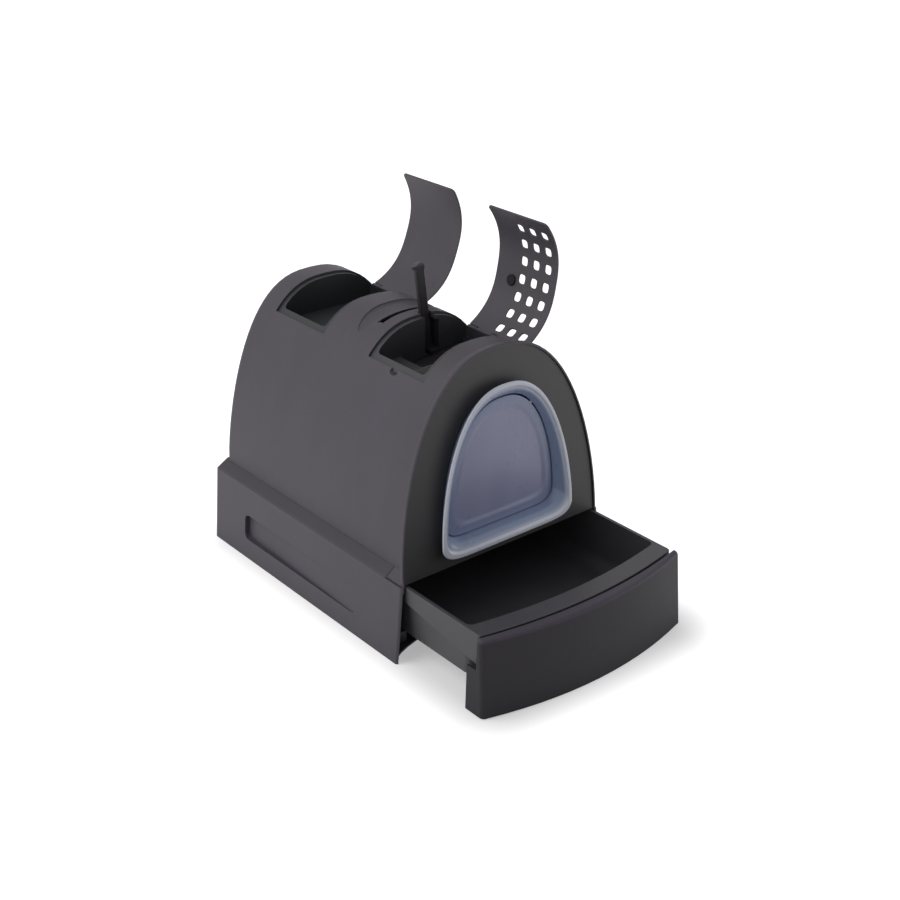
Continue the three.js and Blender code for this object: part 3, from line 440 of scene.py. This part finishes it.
def stops(marks, step):
    """Sorted marks, with even divisions no longer than `step` between them."""
    marks = sorted(set(round(mark, 5) for mark in marks))
    spans = [np.linspace(a, b, max(1, math.ceil((b - a) / step - 1e-6)) + 1)[:-1]
             for a, b in zip(marks, marks[1:])]
    return np.concatenate(spans + [[marks[-1]]])


def smooth(points, steps):
    """A Catmull-Rom curve through the points, in `steps` pieces between each pair b and c: half of
    2b + (c - a) t + (2a - 5b + 4c - d) t^2 + (3b - a - 3c + d) t^3."""
    points = np.asarray(points, float)
    padded = np.concatenate([[2 * points[0] - points[1]], points, [2 * points[-1] - points[-2]]])
    t = (np.arange(steps) / steps)[:, None]
    a, b, c, d = (padded[i:len(padded) - 3 + i][:, None] for i in range(4))
    curve = 0.5 * (2 * b + (c - a) * t + (2 * a - 5 * b + 4 * c - d) * t ** 2
                   + (3 * b - a - 3 * c + d) * t ** 3)
    return np.concatenate([curve.reshape(-1, points.shape[1]), points[-1:]])


def leaning(depth, z):
    """The hood's front leans back: Y at `depth` behind its front plane, at height z, which is
    front plane + depth + lean * (z - sill)."""
    return FRONT_PLANE + depth + LEAN * (z - SILL)


# ---------------------------------------------------------------- lids
LID_X = np.linspace(-LID_HALF, HINGE_X, 3741)     # every 0.05 mm
LID_Z = arch_height(HOOD_ARCH, LID_X)
LID_ARC = np.concatenate([[0], np.cumsum(np.hypot(np.diff(LID_X), np.diff(LID_Z)))])
HINGE_Z = LID_Z[-1]


def swing(points, degrees):
    """Turns points about the lids' hinge line by `degrees`, from closed to open: x cos + z sin and
    z cos - x sin, with x and z from the line."""
    c, s = math.cos(math.radians(degrees)), math.sin(math.radians(degrees))
    x, z = points[..., 0] - HINGE_X, points[..., 2] - HINGE_Z
    return np.stack([HINGE_X + x * c + z * s, points[..., 1], HINGE_Z - x * s + z * c], -1)


def rounded_corner(u, v):
    """Maps the unit square onto a quarter disc: u sqrt(1 - v^2/2), v sqrt(1 - u^2/2)."""
    return u * np.sqrt(1 - v ** 2 / 2), v * np.sqrt(1 - u ** 2 / 2)


def lid_skin(lid_y, degrees, pierced):
    """The lid's outer face: the hood's arch by arc length s from the free edge, and Y. Square holes
    are left out of the grid, and the points around each are drawn to |u|^p + |v|^p = 1, with u and v
    from the hole's centre and p the power of its corners."""
    far = LID_ARC[-1]
    centres = [(FIRST_HOLE_ARC + i * HOLE_PITCH_ARC, FIRST_HOLE_Y + j * HOLE_PITCH_Y)
               for i in range(HOLE_ROWS) for j in range(HOLE_COLUMNS)] if pierced else []
    half = HOLE / 2
    across = stops([0, LID_CORNER, far - KNUCKLE_ROOM, far - 1]
                   + [s + side for s, _ in centres for side in (-half, half)], 3)
    along = stops([0, LID_CORNER, LID_LENGTH - LID_CORNER, LID_LENGTH]
                  + [y for room in HOOD_KNUCKLES for y in room]
                  + [y + side for _, y in centres for side in (-half, half)], 3)
    s, y = np.meshgrid(across, along, indexing="ij")
    middle_s, middle_y = (s[1:, 1:] + s[:-1, :-1]) / 2, (y[1:, 1:] + y[:-1, :-1]) / 2
    keep = np.ones(middle_s.shape, bool)
    for low, high in HOOD_KNUCKLES:
        keep &= ~((middle_s > far - KNUCKLE_ROOM) & (middle_y > low) & (middle_y < high))
    for hole_s, hole_y in centres:
        keep &= ~((abs(middle_s - hole_s) < half) & (abs(middle_y - hole_y) < half))
        u, v = s - hole_s, y - hole_y
        size = np.maximum(abs(u), abs(v))
        near = (size <= HOLE_REACH) & (size > half - 0.01)      # from the hole's edge outwards
        share = np.where(near, np.clip((HOLE_REACH - size) / (HOLE_REACH - half), 0, 1), 0)
        span = np.maximum(size, 1e-6)
        draw = (abs(u / span) ** HOLE_POWER + abs(v / span) ** HOLE_POWER) ** (-1 / HOLE_POWER)
        s, y = s - u * share * (1 - draw), y - v * share * (1 - draw)
    for edge, side in ((LID_CORNER, 1), (LID_LENGTH - LID_CORNER, -1)):
        u, v = (LID_CORNER - s) / LID_CORNER, side * (edge - y) / LID_CORNER
        near = (u > 0) & (v > 0)
        u2, v2 = rounded_corner(np.clip(u, 0, 1), np.clip(v, 0, 1))
        s, y = np.where(near, LID_CORNER * (1 - u2), s), np.where(near, edge - side * LID_CORNER * v2, y)
    points = np.stack([np.interp(s, LID_ARC, LID_X), lid_y + y, np.interp(s, LID_ARC, LID_Z)], -1)
    faces = [face[::-1] for face in quads(*s.shape, keep=keep)]
    return swing(points, degrees).reshape(-1, 3), faces


def barrel(y0, y1, lid_y, degrees):
    """A knuckle round the hinge line: (radius cos t, y, radius sin t), a tube from y0 to y1 with a
    bore for the pin."""
    turn = np.linspace(0, 2 * math.pi, 40, endpoint=False)
    profile = np.array([(KNUCKLE_RADIUS, y0), (KNUCKLE_RADIUS, y1), (BORE_RADIUS, y1), (BORE_RADIUS, y0)])
    radius, y = profile[:, 0, None], profile[:, 1, None] + lid_y + 0 * turn
    points = np.stack([HINGE_X + radius * np.cos(turn), y, HINGE_Z + radius * np.sin(turn)], -1)
    return ring_skin(swing(points, degrees), closed=True)


def button_skin(degrees):
    """A soft disc under the lid: an outline (radius, height), carried round as (radius cos t,
    radius sin t, height), and set square to the lid's slope."""
    outline = smooth([(0.4, -3.7), (8.0, -3.7), (8.6, -4.1), (8.6, -5.2), (7.7, -6.0), (6.2, -6.05),
                      (5.6, -5.6), (4.9, -5.5), (3.0, -5.9), (0.3, -6.0)], 5)
    turn = np.linspace(0, 2 * math.pi, 64, endpoint=False)
    radius, height = outline[:, 0, None], outline[:, 1, None] + 0 * turn
    x = np.interp(BUTTON[0], LID_ARC, LID_X)
    z = arch_height(HOOD_ARCH, x)
    slope = math.atan2(arch_height(HOOD_ARCH, x - 1) - arch_height(HOOD_ARCH, x + 1), 2)
    across, forth = radius * np.cos(turn), radius * np.sin(turn)
    points = np.stack([x + across * math.cos(slope) + height * math.sin(slope),
                       FRONT_LID_Y + BUTTON[1] + forth,
                       z - across * math.sin(slope) + height * math.cos(slope)], -1)
    return ring_skin(swing(points, degrees))


# ---------------------------------------------------------------- door
def door_loops(inset, drop=0.0, rise=0.0):
    """The door's outline at each inset (K values), as K x N points in X and Z: a superellipse arch,
    half * (1 - u^m)^(1/n), u the share of its rise, on a foot with rounded corners,
    half * |cos t|^p and -corner * sin t."""
    arch_steps, foot_steps = 110, 60
    inset, drop, rise = (np.broadcast_to(value, len(inset))[:, None] for value in (inset, drop, rise))
    spring = (DOOR_SPRING + np.minimum(inset, RING_WIDTH) * DOOR_FOOT_RISE[0]
              + np.maximum(0, inset - RING_WIDTH) * DOOR_FOOT_RISE[1] + rise)
    half, crown = DOOR_HALF - inset, DOOR_CROWN - inset - drop
    step = np.arange(arch_steps + 1)
    u = np.sin(math.pi * step / arch_steps)
    m, n = DOOR_POWERS
    arch_x = half * (1 - u ** m) ** (1 / n) * np.sign(arch_steps - 2 * step)
    arch_z = spring + (crown - spring) * u
    turn = math.pi * np.arange(1, foot_steps + 1) / (foot_steps + 1)
    foot_x = -half * np.sign(np.cos(turn)) * np.abs(np.cos(turn)) ** DOOR_FOOT_POWER
    foot_z = spring - DOOR_CORNER * np.sin(turn)
    return np.concatenate([arch_x, foot_x], 1), np.concatenate([arch_z, foot_z], 1)


def door_frame_skin():
    """The rim's rounded bead, the dished wall, the sleeve and the back, carried round the outline.
    The bead and the back are (inset, depth) and lean with the front; the dish is (inset, share) and
    goes from the bead, at share 0, to the flap's upright face, at share 1. Returns the skin, and
    the share of the dish's tint at each point."""
    bead = smooth([(0.0, -12.4), (0.25, -13.9), (1.4, -14.85), (3.6, -15), (5.9, -14.8), (7.4, -13.7),
                   (8.3, -12.6), (9.4, -12.2)], 5)
    dish = smooth([(9.4, 0.0), (12.2, 0.06), (15.0, 0.22), (17.4, 0.46), (19.4, 0.7), (20.6, 0.88),
                   (SLEEVE_INSET, 1.0)], 5)[1:]
    sleeve = [SLEEVE_INSET, SLEEVE_INSET - SLEEVE_THICK]
    back = np.array([(19, 2.2), (13, 2.2), (12.5, -2.0), (10, -7.0), (7, -10.5), (5, -12.0)])
    x, z = door_loops(np.concatenate([bead[:, 0], dish[:, 0], sleeve, back[:, 0]]))
    start, end = len(bead), len(bead) + len(dish)
    depth = np.concatenate([bead[:, 1], np.zeros(len(dish) + len(sleeve)), back[:, 1]])[:, None]
    y = leaning(depth, z)
    share = dish[:, 1, None]
    y[start:end] = leaning(bead[-1, 1], z[start:end]) * (1 - share) + FLAP_FACE * share
    y[end:end + len(sleeve)] = SLEEVE_END
    # the bead keeps the frame's lighter colour, a painted highlight; the dish takes its deeper tint
    tone = np.interp(np.arange(len(x)), [start - TINT_BEFORE, start + TINT_AFTER], [0, 1])
    return ring_skin(np.stack([x, y, z], -1), closed=True), np.repeat(tone, x.shape[1])


def flap_skin():
    """The hanging flap: a rounded border that slopes softly to a thinner field, the same both
    sides. Its profile is (share of the way from edge to field, half thickness), with the slope
    field + (edge - field) * (1 + cos pi t) / 2. Returns the skin, and each point's share of the
    border."""
    border = np.array([(0.0, 1.4), (0.012, 2.0), (0.04, 2.4), (0.09, FLAP_EDGE), (0.3, FLAP_EDGE),
                       (0.5, FLAP_EDGE)])
    t = np.linspace(0, 1, 11)[1:]
    fall = FLAP_FIELD + (FLAP_EDGE - FLAP_FIELD) * (1 + np.cos(math.pi * t)) / 2
    share = np.concatenate([border[:, 0], 0.5 + 0.5 * t, np.ones(FIELD_RINGS)])
    deep = np.concatenate([border[:, 1], fall, np.full(FIELD_RINGS, FLAP_FIELD)])[:, None]
    inset = FLAP_INSET + FLAP_BORDER * share
    inset[-FIELD_RINGS:] += np.linspace(*FIELD_INSETS, FIELD_RINGS)
    x, z = door_loops(inset, FLAP_DROP, FLAP_RISE * share)
    front = np.stack([x, FLAP_Y - deep + 0 * x, z], -1)
    back = np.stack([x, FLAP_Y + deep + 0 * x, z], -1)
    tone = np.repeat(np.concatenate([share[::-1], share]), x.shape[1])
    return ring_skin(np.concatenate([front[::-1], back])), 1 - tone


# ---------------------------------------------------------------- filter
def filter_skin():
    """A crowned fibre pad in the filter's box: outlines |cos t|^p, |sin t|^p that close in over and
    under a rounded edge by (cos l)^q, at heights |sin l|^r."""
    low, high = (np.array(corner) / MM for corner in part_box("carbon_filter"))
    middle, half = (low + high) / 2, (high - low) / 2
    turn = np.linspace(0, 2 * math.pi, 160, endpoint=False)
    edge_x = np.sign(np.cos(turn)) * np.abs(np.cos(turn)) ** PAD_CORNER_POWER
    edge_y = np.sign(np.sin(turn)) * np.abs(np.sin(turn)) ** PAD_CORNER_POWER
    lift = np.linspace(-math.pi / 2, math.pi / 2, 41)
    close = np.cos(lift) ** PAD_EDGE_POWER
    close[[0, -1]] = 0.02
    height = (np.sign(lift) * np.abs(np.sin(lift)) ** PAD_HEIGHT_POWER)[:, None]
    inset = half[1] * (1 - close)
    x = middle[0] + edge_x * (half[0] - inset)[:, None]
    y = middle[1] + edge_y * (half[1] - inset)[:, None]
    crown = 1 - PAD_CROWN + PAD_CROWN * np.cos(math.pi * (x - middle[0]) / half[0] / 2)
    return ring_skin(np.stack([x, y, middle[2] + half[2] * height * crown], -1))


# ---------------------------------------------------------------- settings
class LitterBoxFinish(bpy.types.PropertyGroup):
    """Colours and surface of the mouldings."""
    shell_colour: bpy.props.FloatVectorProperty(
        name="Shell colour", description="Colour of the hood and the base", subtype="COLOR",
        size=4, min=0, max=1, default=srgb(65, 60, 69))
    face_colour: bpy.props.FloatVectorProperty(
        name="Front panel colour", description="Colour of the hood's front panel", subtype="COLOR",
        size=4, min=0, max=1, default=srgb(54, 53, 55))
    lid_colour: bpy.props.FloatVectorProperty(
        name="Lid colour", description="Colour of the two top lids", subtype="COLOR",
        size=4, min=0, max=1, default=srgb(69, 64, 72))
    liner_colour: bpy.props.FloatVectorProperty(
        name="Liner colour", description="Colour of the storage bin", subtype="COLOR",
        size=4, min=0, max=1, default=srgb(33, 36, 38))
    well_colour: bpy.props.FloatVectorProperty(
        name="Well colour", description="Colour of the scoop's well", subtype="COLOR",
        size=4, min=0, max=1, default=srgb(47, 48, 52))
    drawer_colour: bpy.props.FloatVectorProperty(
        name="Drawer front colour", description="Colour of the drawer's bowed front", subtype="COLOR",
        size=4, min=0, max=1, default=srgb(38, 35, 42))
    scoop_colour: bpy.props.FloatVectorProperty(
        name="Scoop colour", description="Colour of the scoop", subtype="COLOR",
        size=4, min=0, max=1, default=srgb(27, 24, 29))
    tray_colour: bpy.props.FloatVectorProperty(
        name="Tray colour", description="Colour of the litter tray", subtype="COLOR",
        size=4, min=0, max=1, default=srgb(63, 62, 67))
    # the frame's tint, lightened to near white: on the bead, a painted highlight
    frame_tint_and_highlight: bpy.props.FloatVectorProperty(
        name="Door frame colour", description="Tint of the door frame", subtype="COLOR",
        size=4, min=0, max=1, default=srgb(226, 229, 243))
    flap_colour: bpy.props.FloatVectorProperty(
        name="Flap colour", description="Tint of the hanging flap", subtype="COLOR",
        size=4, min=0, max=1, default=srgb(152, 155, 186))
    dish_colour: bpy.props.FloatVectorProperty(
        name="Door dish colour", description="Tint of the door frame's dished wall", subtype="COLOR",
        size=4, min=0, max=1, default=srgb(146, 161, 192))
    border_colour: bpy.props.FloatVectorProperty(
        name="Flap border colour", description="Tint of the flap's thicker border", subtype="COLOR",
        size=4, min=0, max=1, default=srgb(134, 146, 180))
    rubber_colour: bpy.props.FloatVectorProperty(
        name="Button colour", description="Colour of the lid's rubber button", subtype="COLOR",
        size=4, min=0, max=1, default=srgb(24, 22, 25))
    filter_colour: bpy.props.FloatVectorProperty(
        name="Filter colour", description="Colour of the carbon filter pad", subtype="COLOR",
        size=4, min=0, max=1, default=srgb(30, 30, 32))
    grain: bpy.props.FloatProperty(
        name="Grain depth", description="Depth of the moulded grain", subtype="DISTANCE",
        unit="LENGTH", min=0, max=0.001, default=0.00008)
    edge: bpy.props.FloatProperty(
        name="Edge rounding", description="Rounding of the mouldings' edges", subtype="DISTANCE",
        unit="LENGTH", min=0, max=0.003, default=0.0007)


class LitterBoxStudio(bpy.types.PropertyGroup):
    """Camera and light."""
    azimuth: bpy.props.FloatProperty(
        name="Camera azimuth", description="Camera's direction from the front, to the right",
        subtype="ANGLE", unit="ROTATION", default=math.radians(-39.34))
    elevation: bpy.props.FloatProperty(
        name="Camera elevation", description="Camera's height over the horizon",
        subtype="ANGLE", unit="ROTATION", default=math.radians(25.81))
    distance: bpy.props.FloatProperty(
        name="Camera distance", description="Camera's distance from its target", subtype="DISTANCE",
        unit="LENGTH", min=0.1, default=2.23318)
    target: bpy.props.FloatVectorProperty(
        name="Camera target", description="Point that the camera looks at", subtype="XYZ",
        unit="LENGTH", size=3, default=(0.01483, -0.1016, 0.21939))
    lens: bpy.props.FloatProperty(
        name="Lens", description="Focal length on a 36 mm sensor, in millimetres",
        unit="CAMERA", min=10, max=200, default=59.4648)
    key_power: bpy.props.FloatProperty(
        name="Key light", description="Power of the large soft light", unit="POWER", min=0, default=17.5)
    side_power: bpy.props.FloatProperty(
        name="Side light", description="Power of the low soft light", unit="POWER", min=0, default=7)
    fill_power: bpy.props.FloatProperty(
        name="Fill light", description="Power of the light on the other side", unit="POWER",
        min=0, default=1.75)


class LITTERBOX_OT_shell(bpy.types.Operator):
    """Finish the base, the hood, its front panel and its hinge pins"""
    bl_idname = "litterbox.shell"
    bl_label = "Shell"

    def execute(self, context):
        looks = context.scene.litter_box_finish
        shell = moulded("shell plastic", looks.shell_colour, 0.52, looks.grain)
        face = moulded("front panel plastic", looks.face_colour, 0.5, looks.grain)
        # the base's ledge is darker: painted shade
        base = moulded("base plastic", looks.shell_colour, 0.52, looks.grain, painted_band=LEDGE_PAINTED_SHADE)
        dress("base_shell", base, looks.edge)
        dress("hood_shell", shell, looks.edge)
        dress("front_panel", face, looks.edge)
        for pin in ("front_lid_pin", "rear_lid_pin"):
            dress(pin, shell, 0)
        return {"FINISHED"}


class LITTERBOX_OT_lids(bpy.types.Operator):
    """Finish the two top lids and the front one's rubber button"""
    bl_idname = "litterbox.lids"
    bl_label = "Lids"

    def execute(self, context):
        looks = context.scene.litter_box_finish
        plastic = moulded("lid plastic", looks.lid_colour, 0.5, looks.grain)
        for name, lid_y, degrees, pierced in (("front_lid", FRONT_LID_Y, FRONT_LID_OPEN, True),
                                              ("rear_lid", REAR_LID_Y, REAR_LID_OPEN, False)):
            build(name + "_skin", [lid_skin(lid_y, degrees, pierced)], name, plastic, [name],
                  wall=LID_THICK, edge_width=0.6)
            build(name + "_knuckles", [barrel(*ends, lid_y, degrees) for ends in LID_KNUCKLES],
                  name, plastic, [], edge_width=0.4)
        rubber = soft_rubber("button rubber", looks.rubber_colour)
        build("lid_button_disc", [button_skin(FRONT_LID_OPEN)], "front_lid", rubber,
              ["lid_button"])
        return {"FINISHED"}


class LITTERBOX_OT_liners(bpy.types.Operator):
    """Finish the storage bin, the scoop's well and the filter pad"""
    bl_idname = "litterbox.liners"
    bl_label = "Liners and filter"

    def execute(self, context):
        looks = context.scene.litter_box_finish
        for node, colour in (("storage_bin", looks.liner_colour), ("scoop_well", looks.well_colour)):
            dress(node, moulded(node + " plastic", colour, 0.45, looks.grain * 0.6), looks.edge)
        pad = build("filter_pad", [filter_skin()], "hood", felt("filter fibres", looks.filter_colour),
                    ["carbon_filter"])
        return {"FINISHED"}


class LITTERBOX_OT_door(bpy.types.Operator):
    """Finish the door's frame, its pins and the hanging flap"""
    bl_idname = "litterbox.door"
    bl_label = "Door"

    def execute(self, context):
        looks = context.scene.litter_box_finish
        rim = tinted("door frame plastic", looks.frame_tint_and_highlight, looks.dish_colour)
        flap = tinted("flap plastic", looks.flap_colour, looks.border_colour)
        skin, tone = door_frame_skin()
        build("door_frame_ring", [skin], "hood", rim, ["door_frame"], tone=tone)
        skin, tone = flap_skin()
        build("door_flap_panel", [skin], "door_flap", flap, ["door_flap"], tone=tone)
        for pin in ("door_pin_left", "door_pin_right"):
            dress(pin, rim, 0)
        return {"FINISHED"}


class LITTERBOX_OT_drawer(bpy.types.Operator):
    """Finish the litter tray and the drawer's bowed front"""
    bl_idname = "litterbox.drawer"
    bl_label = "Drawer"

    def execute(self, context):
        looks = context.scene.litter_box_finish
        tray = moulded("tray plastic", looks.tray_colour, 0.45, looks.grain * 0.6)
        dress("drawer_tray", tray, looks.edge)
        # its top edge is lighter: a painted highlight
        bowed = moulded("drawer front plastic", looks.drawer_colour, 0.5, looks.grain, 0.22,
                        DRAWER_EDGE_HIGHLIGHT)
        dress("drawer_front", bowed, looks.edge)
        return {"FINISHED"}


class LITTERBOX_OT_scoop(bpy.types.Operator):
    """Finish the scoop"""
    bl_idname = "litterbox.scoop"
    bl_label = "Scoop"

    def execute(self, context):
        looks = context.scene.litter_box_finish
        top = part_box("scoop")[1][2] / MM
        # its tip is lighter: a painted highlight
        plastic = moulded("scoop plastic", looks.scoop_colour, 0.46, looks.grain * 0.6, 0.3,
                          (top - TIP_HIGHLIGHT_LENGTH, top + 2, TIP_HIGHLIGHT_SHARE))
        dress("scoop", plastic, looks.edge)
        return {"FINISHED"}


class LITTERBOX_OT_stage(bpy.types.Operator):
    """Set the floor, the lights and the camera"""
    bl_idname = "litterbox.stage"
    bl_label = "Studio"

    def execute(self, context):
        studio = context.scene.litter_box_studio
        scene = context.scene
        scene.view_settings.view_transform = "Standard"
        self.floor()
        self.world(scene)
        self.lights(studio)
        self.camera(scene, studio)
        return {"FINISHED"}

    def floor(self):
        """A square floor that shows white, and darker close to the object: the length of
        max(|p - middle| - half, 0) in X and Y is its distance from the footprint, drawn in by
        FOOT_ROUND so that the shade has round corners."""
        corners = [(x * FLOOR_HALF, y * FLOOR_HALF, 0) for x, y in ((-1, -1), (1, -1), (1, 1), (-1, 1))]
        mesh = bpy.data.meshes.new("floor")
        mesh.from_pydata(corners, [], [(0, 1, 2, 3)])
        floor = bpy.data.objects.new("floor", mesh)
        bpy.context.scene.collection.objects.link(floor)
        material = bpy.data.materials.new("studio floor")
        material.use_nodes = True
        tree = material.node_tree
        shader = tree.nodes["Principled BSDF"]
        shader.inputs["Base Color"].default_value = FLOOR_GREY
        shader.inputs["Roughness"].default_value = 0.9
        shader.inputs["Specular IOR Level"].default_value = 0.05
        shader.inputs["Emission Color"].default_value = WHITE
        value = tree.nodes.new("ShaderNodeTexCoord").outputs["Object"]
        low, high = (np.array(corner) for corner in CAD_BOX)
        for operation, other in (("SUBTRACT", (low + high) / 2), ("ABSOLUTE", None),
                                 ("SUBTRACT", (high - low) / 2 - FOOT_ROUND), ("MAXIMUM", (0, 0, 0)),
                                 ("MULTIPLY", (1, 1, 0)), ("LENGTH", None)):
            step = tree.nodes.new("ShaderNodeVectorMath")
            step.operation = operation
            tree.links.new(value, step.inputs[0])
            if other is not None:
                step.inputs[1].default_value = other
            value = step.outputs["Value" if operation == "LENGTH" else "Vector"]
        glow = tree.nodes.new("ShaderNodeMapRange")
        glow.interpolation_type = "SMOOTHSTEP"
        for key, setting in (("From Min", SHADE_NEAR), ("From Max", SHADE_FAR),
                             ("To Min", SHADE_GLOW), ("To Max", 1.0)):
            glow.inputs[key].default_value = setting
        tree.links.new(value, glow.inputs["Value"])
        scale = tree.nodes.new("ShaderNodeMath")
        scale.operation = "MULTIPLY"
        tree.links.new(glow.outputs["Result"], scale.inputs[0])
        tree.links.new(seen_rays(tree), scale.inputs[1])
        tree.links.new(scale.outputs[0], shader.inputs["Emission Strength"])
        mesh.materials.append(material)

    def world(self, scene):
        """A world that shows white, and gives the object a soft, dimmer light from all round."""
        world = bpy.data.worlds.new("studio")
        scene.world = world
        world.use_nodes = True
        tree = world.node_tree
        tree.nodes.clear()
        out = tree.nodes.new("ShaderNodeOutputWorld")
        either = tree.nodes.new("ShaderNodeMixShader")
        soft = tree.nodes.new("ShaderNodeBackground")
        white = tree.nodes.new("ShaderNodeBackground")
        soft.inputs["Color"].default_value = WHITE
        soft.inputs["Strength"].default_value = SKY_LIGHT
        white.inputs["Color"].default_value = WHITE
        white.inputs["Strength"].default_value = 1.0
        tree.links.new(seen_rays(tree), either.inputs[0])
        tree.links.new(soft.outputs[0], either.inputs[1])
        tree.links.new(white.outputs[0], either.inputs[2])
        tree.links.new(either.outputs[0], out.inputs["Surface"])

    def lights(self, studio):
        """Square soft lights, each with its place, the point that it faces, its size and power."""
        for name, place, aim, size, power in (
            ("key", (-1.5, 0.5, 1.75), (0, -0.05, 0.25), 1.5, studio.key_power),
            ("side", (-1.7, 0.1, 0.4), (0, -0.05, 0.2), 1.2, studio.side_power),
            ("fill", (0.95, -0.85, 0.3), (0.1, -0.25, 0.2), 0.5, studio.fill_power),
        ):
            light = bpy.data.lights.new(name, "AREA")
            light.shape = "SQUARE"
            light.size = size
            light.energy = power
            lamp = bpy.data.objects.new(name, light)
            bpy.context.scene.collection.objects.link(lamp)
            lamp.visible_camera = False
            lamp.location = place
            lamp.rotation_euler = (Vector(aim) - Vector(place)).to_track_quat("-Z", "Y").to_euler()

    def camera(self, scene, studio):
        """A camera at `distance` from its target, along (sin a cos e, -cos a cos e, sin e)."""
        data = bpy.data.cameras.new("camera")
        data.lens = studio.lens
        data.sensor_width = 36
        data.clip_start, data.clip_end = 0.05, 50
        camera = bpy.data.objects.new("camera", data)
        scene.collection.objects.link(camera)
        azimuth, elevation = studio.azimuth, studio.elevation
        back = Vector((math.sin(azimuth) * math.cos(elevation), -math.cos(azimuth) * math.cos(elevation),
                       math.sin(elevation)))
        camera.location = Vector(studio.target) + back * studio.distance
        camera.rotation_euler = (-back).to_track_quat("-Z", "Y").to_euler()
        scene.camera = camera


class LITTERBOX_PT_panel(bpy.types.Panel):
    """The litter box's pieces and settings"""
    bl_idname = "LITTERBOX_PT_panel"
    bl_label = "Litter Box"
    bl_space_type = "VIEW_3D"
    bl_region_type = "UI"
    bl_category = "Litter Box"

    def draw(self, context):
        layout = self.layout
        for settings in (context.scene.litter_box_finish, context.scene.litter_box_studio):
            box = layout.box()
            for key in settings.bl_rna.properties.keys():
                if key not in ("rna_type", "name"):
                    box.prop(settings, key)
        for piece in PIECES:
            layout.operator(piece.bl_idname)


PIECES = (LITTERBOX_OT_shell, LITTERBOX_OT_lids, LITTERBOX_OT_liners, LITTERBOX_OT_door,
          LITTERBOX_OT_drawer, LITTERBOX_OT_scoop, LITTERBOX_OT_stage)
CLASSES = (LitterBoxFinish, LitterBoxStudio) + PIECES + (LITTERBOX_PT_panel,)


def register():
    for item in CLASSES:
        bpy.utils.register_class(item)
    bpy.types.Scene.litter_box_finish = bpy.props.PointerProperty(type=LitterBoxFinish)
    bpy.types.Scene.litter_box_studio = bpy.props.PointerProperty(type=LitterBoxStudio)


def unregister():
    del bpy.types.Scene.litter_box_studio
    del bpy.types.Scene.litter_box_finish
    for item in reversed(CLASSES):
        bpy.utils.unregister_class(item)


def main():
    register()
    bpy.ops.litterbox.stage()
    bpy.ops.litterbox.shell()
    bpy.ops.litterbox.lids()
    bpy.ops.litterbox.liners()
    bpy.ops.litterbox.door()
    bpy.ops.litterbox.drawer()
    bpy.ops.litterbox.scoop()


if __name__ == "__main__":
    main()
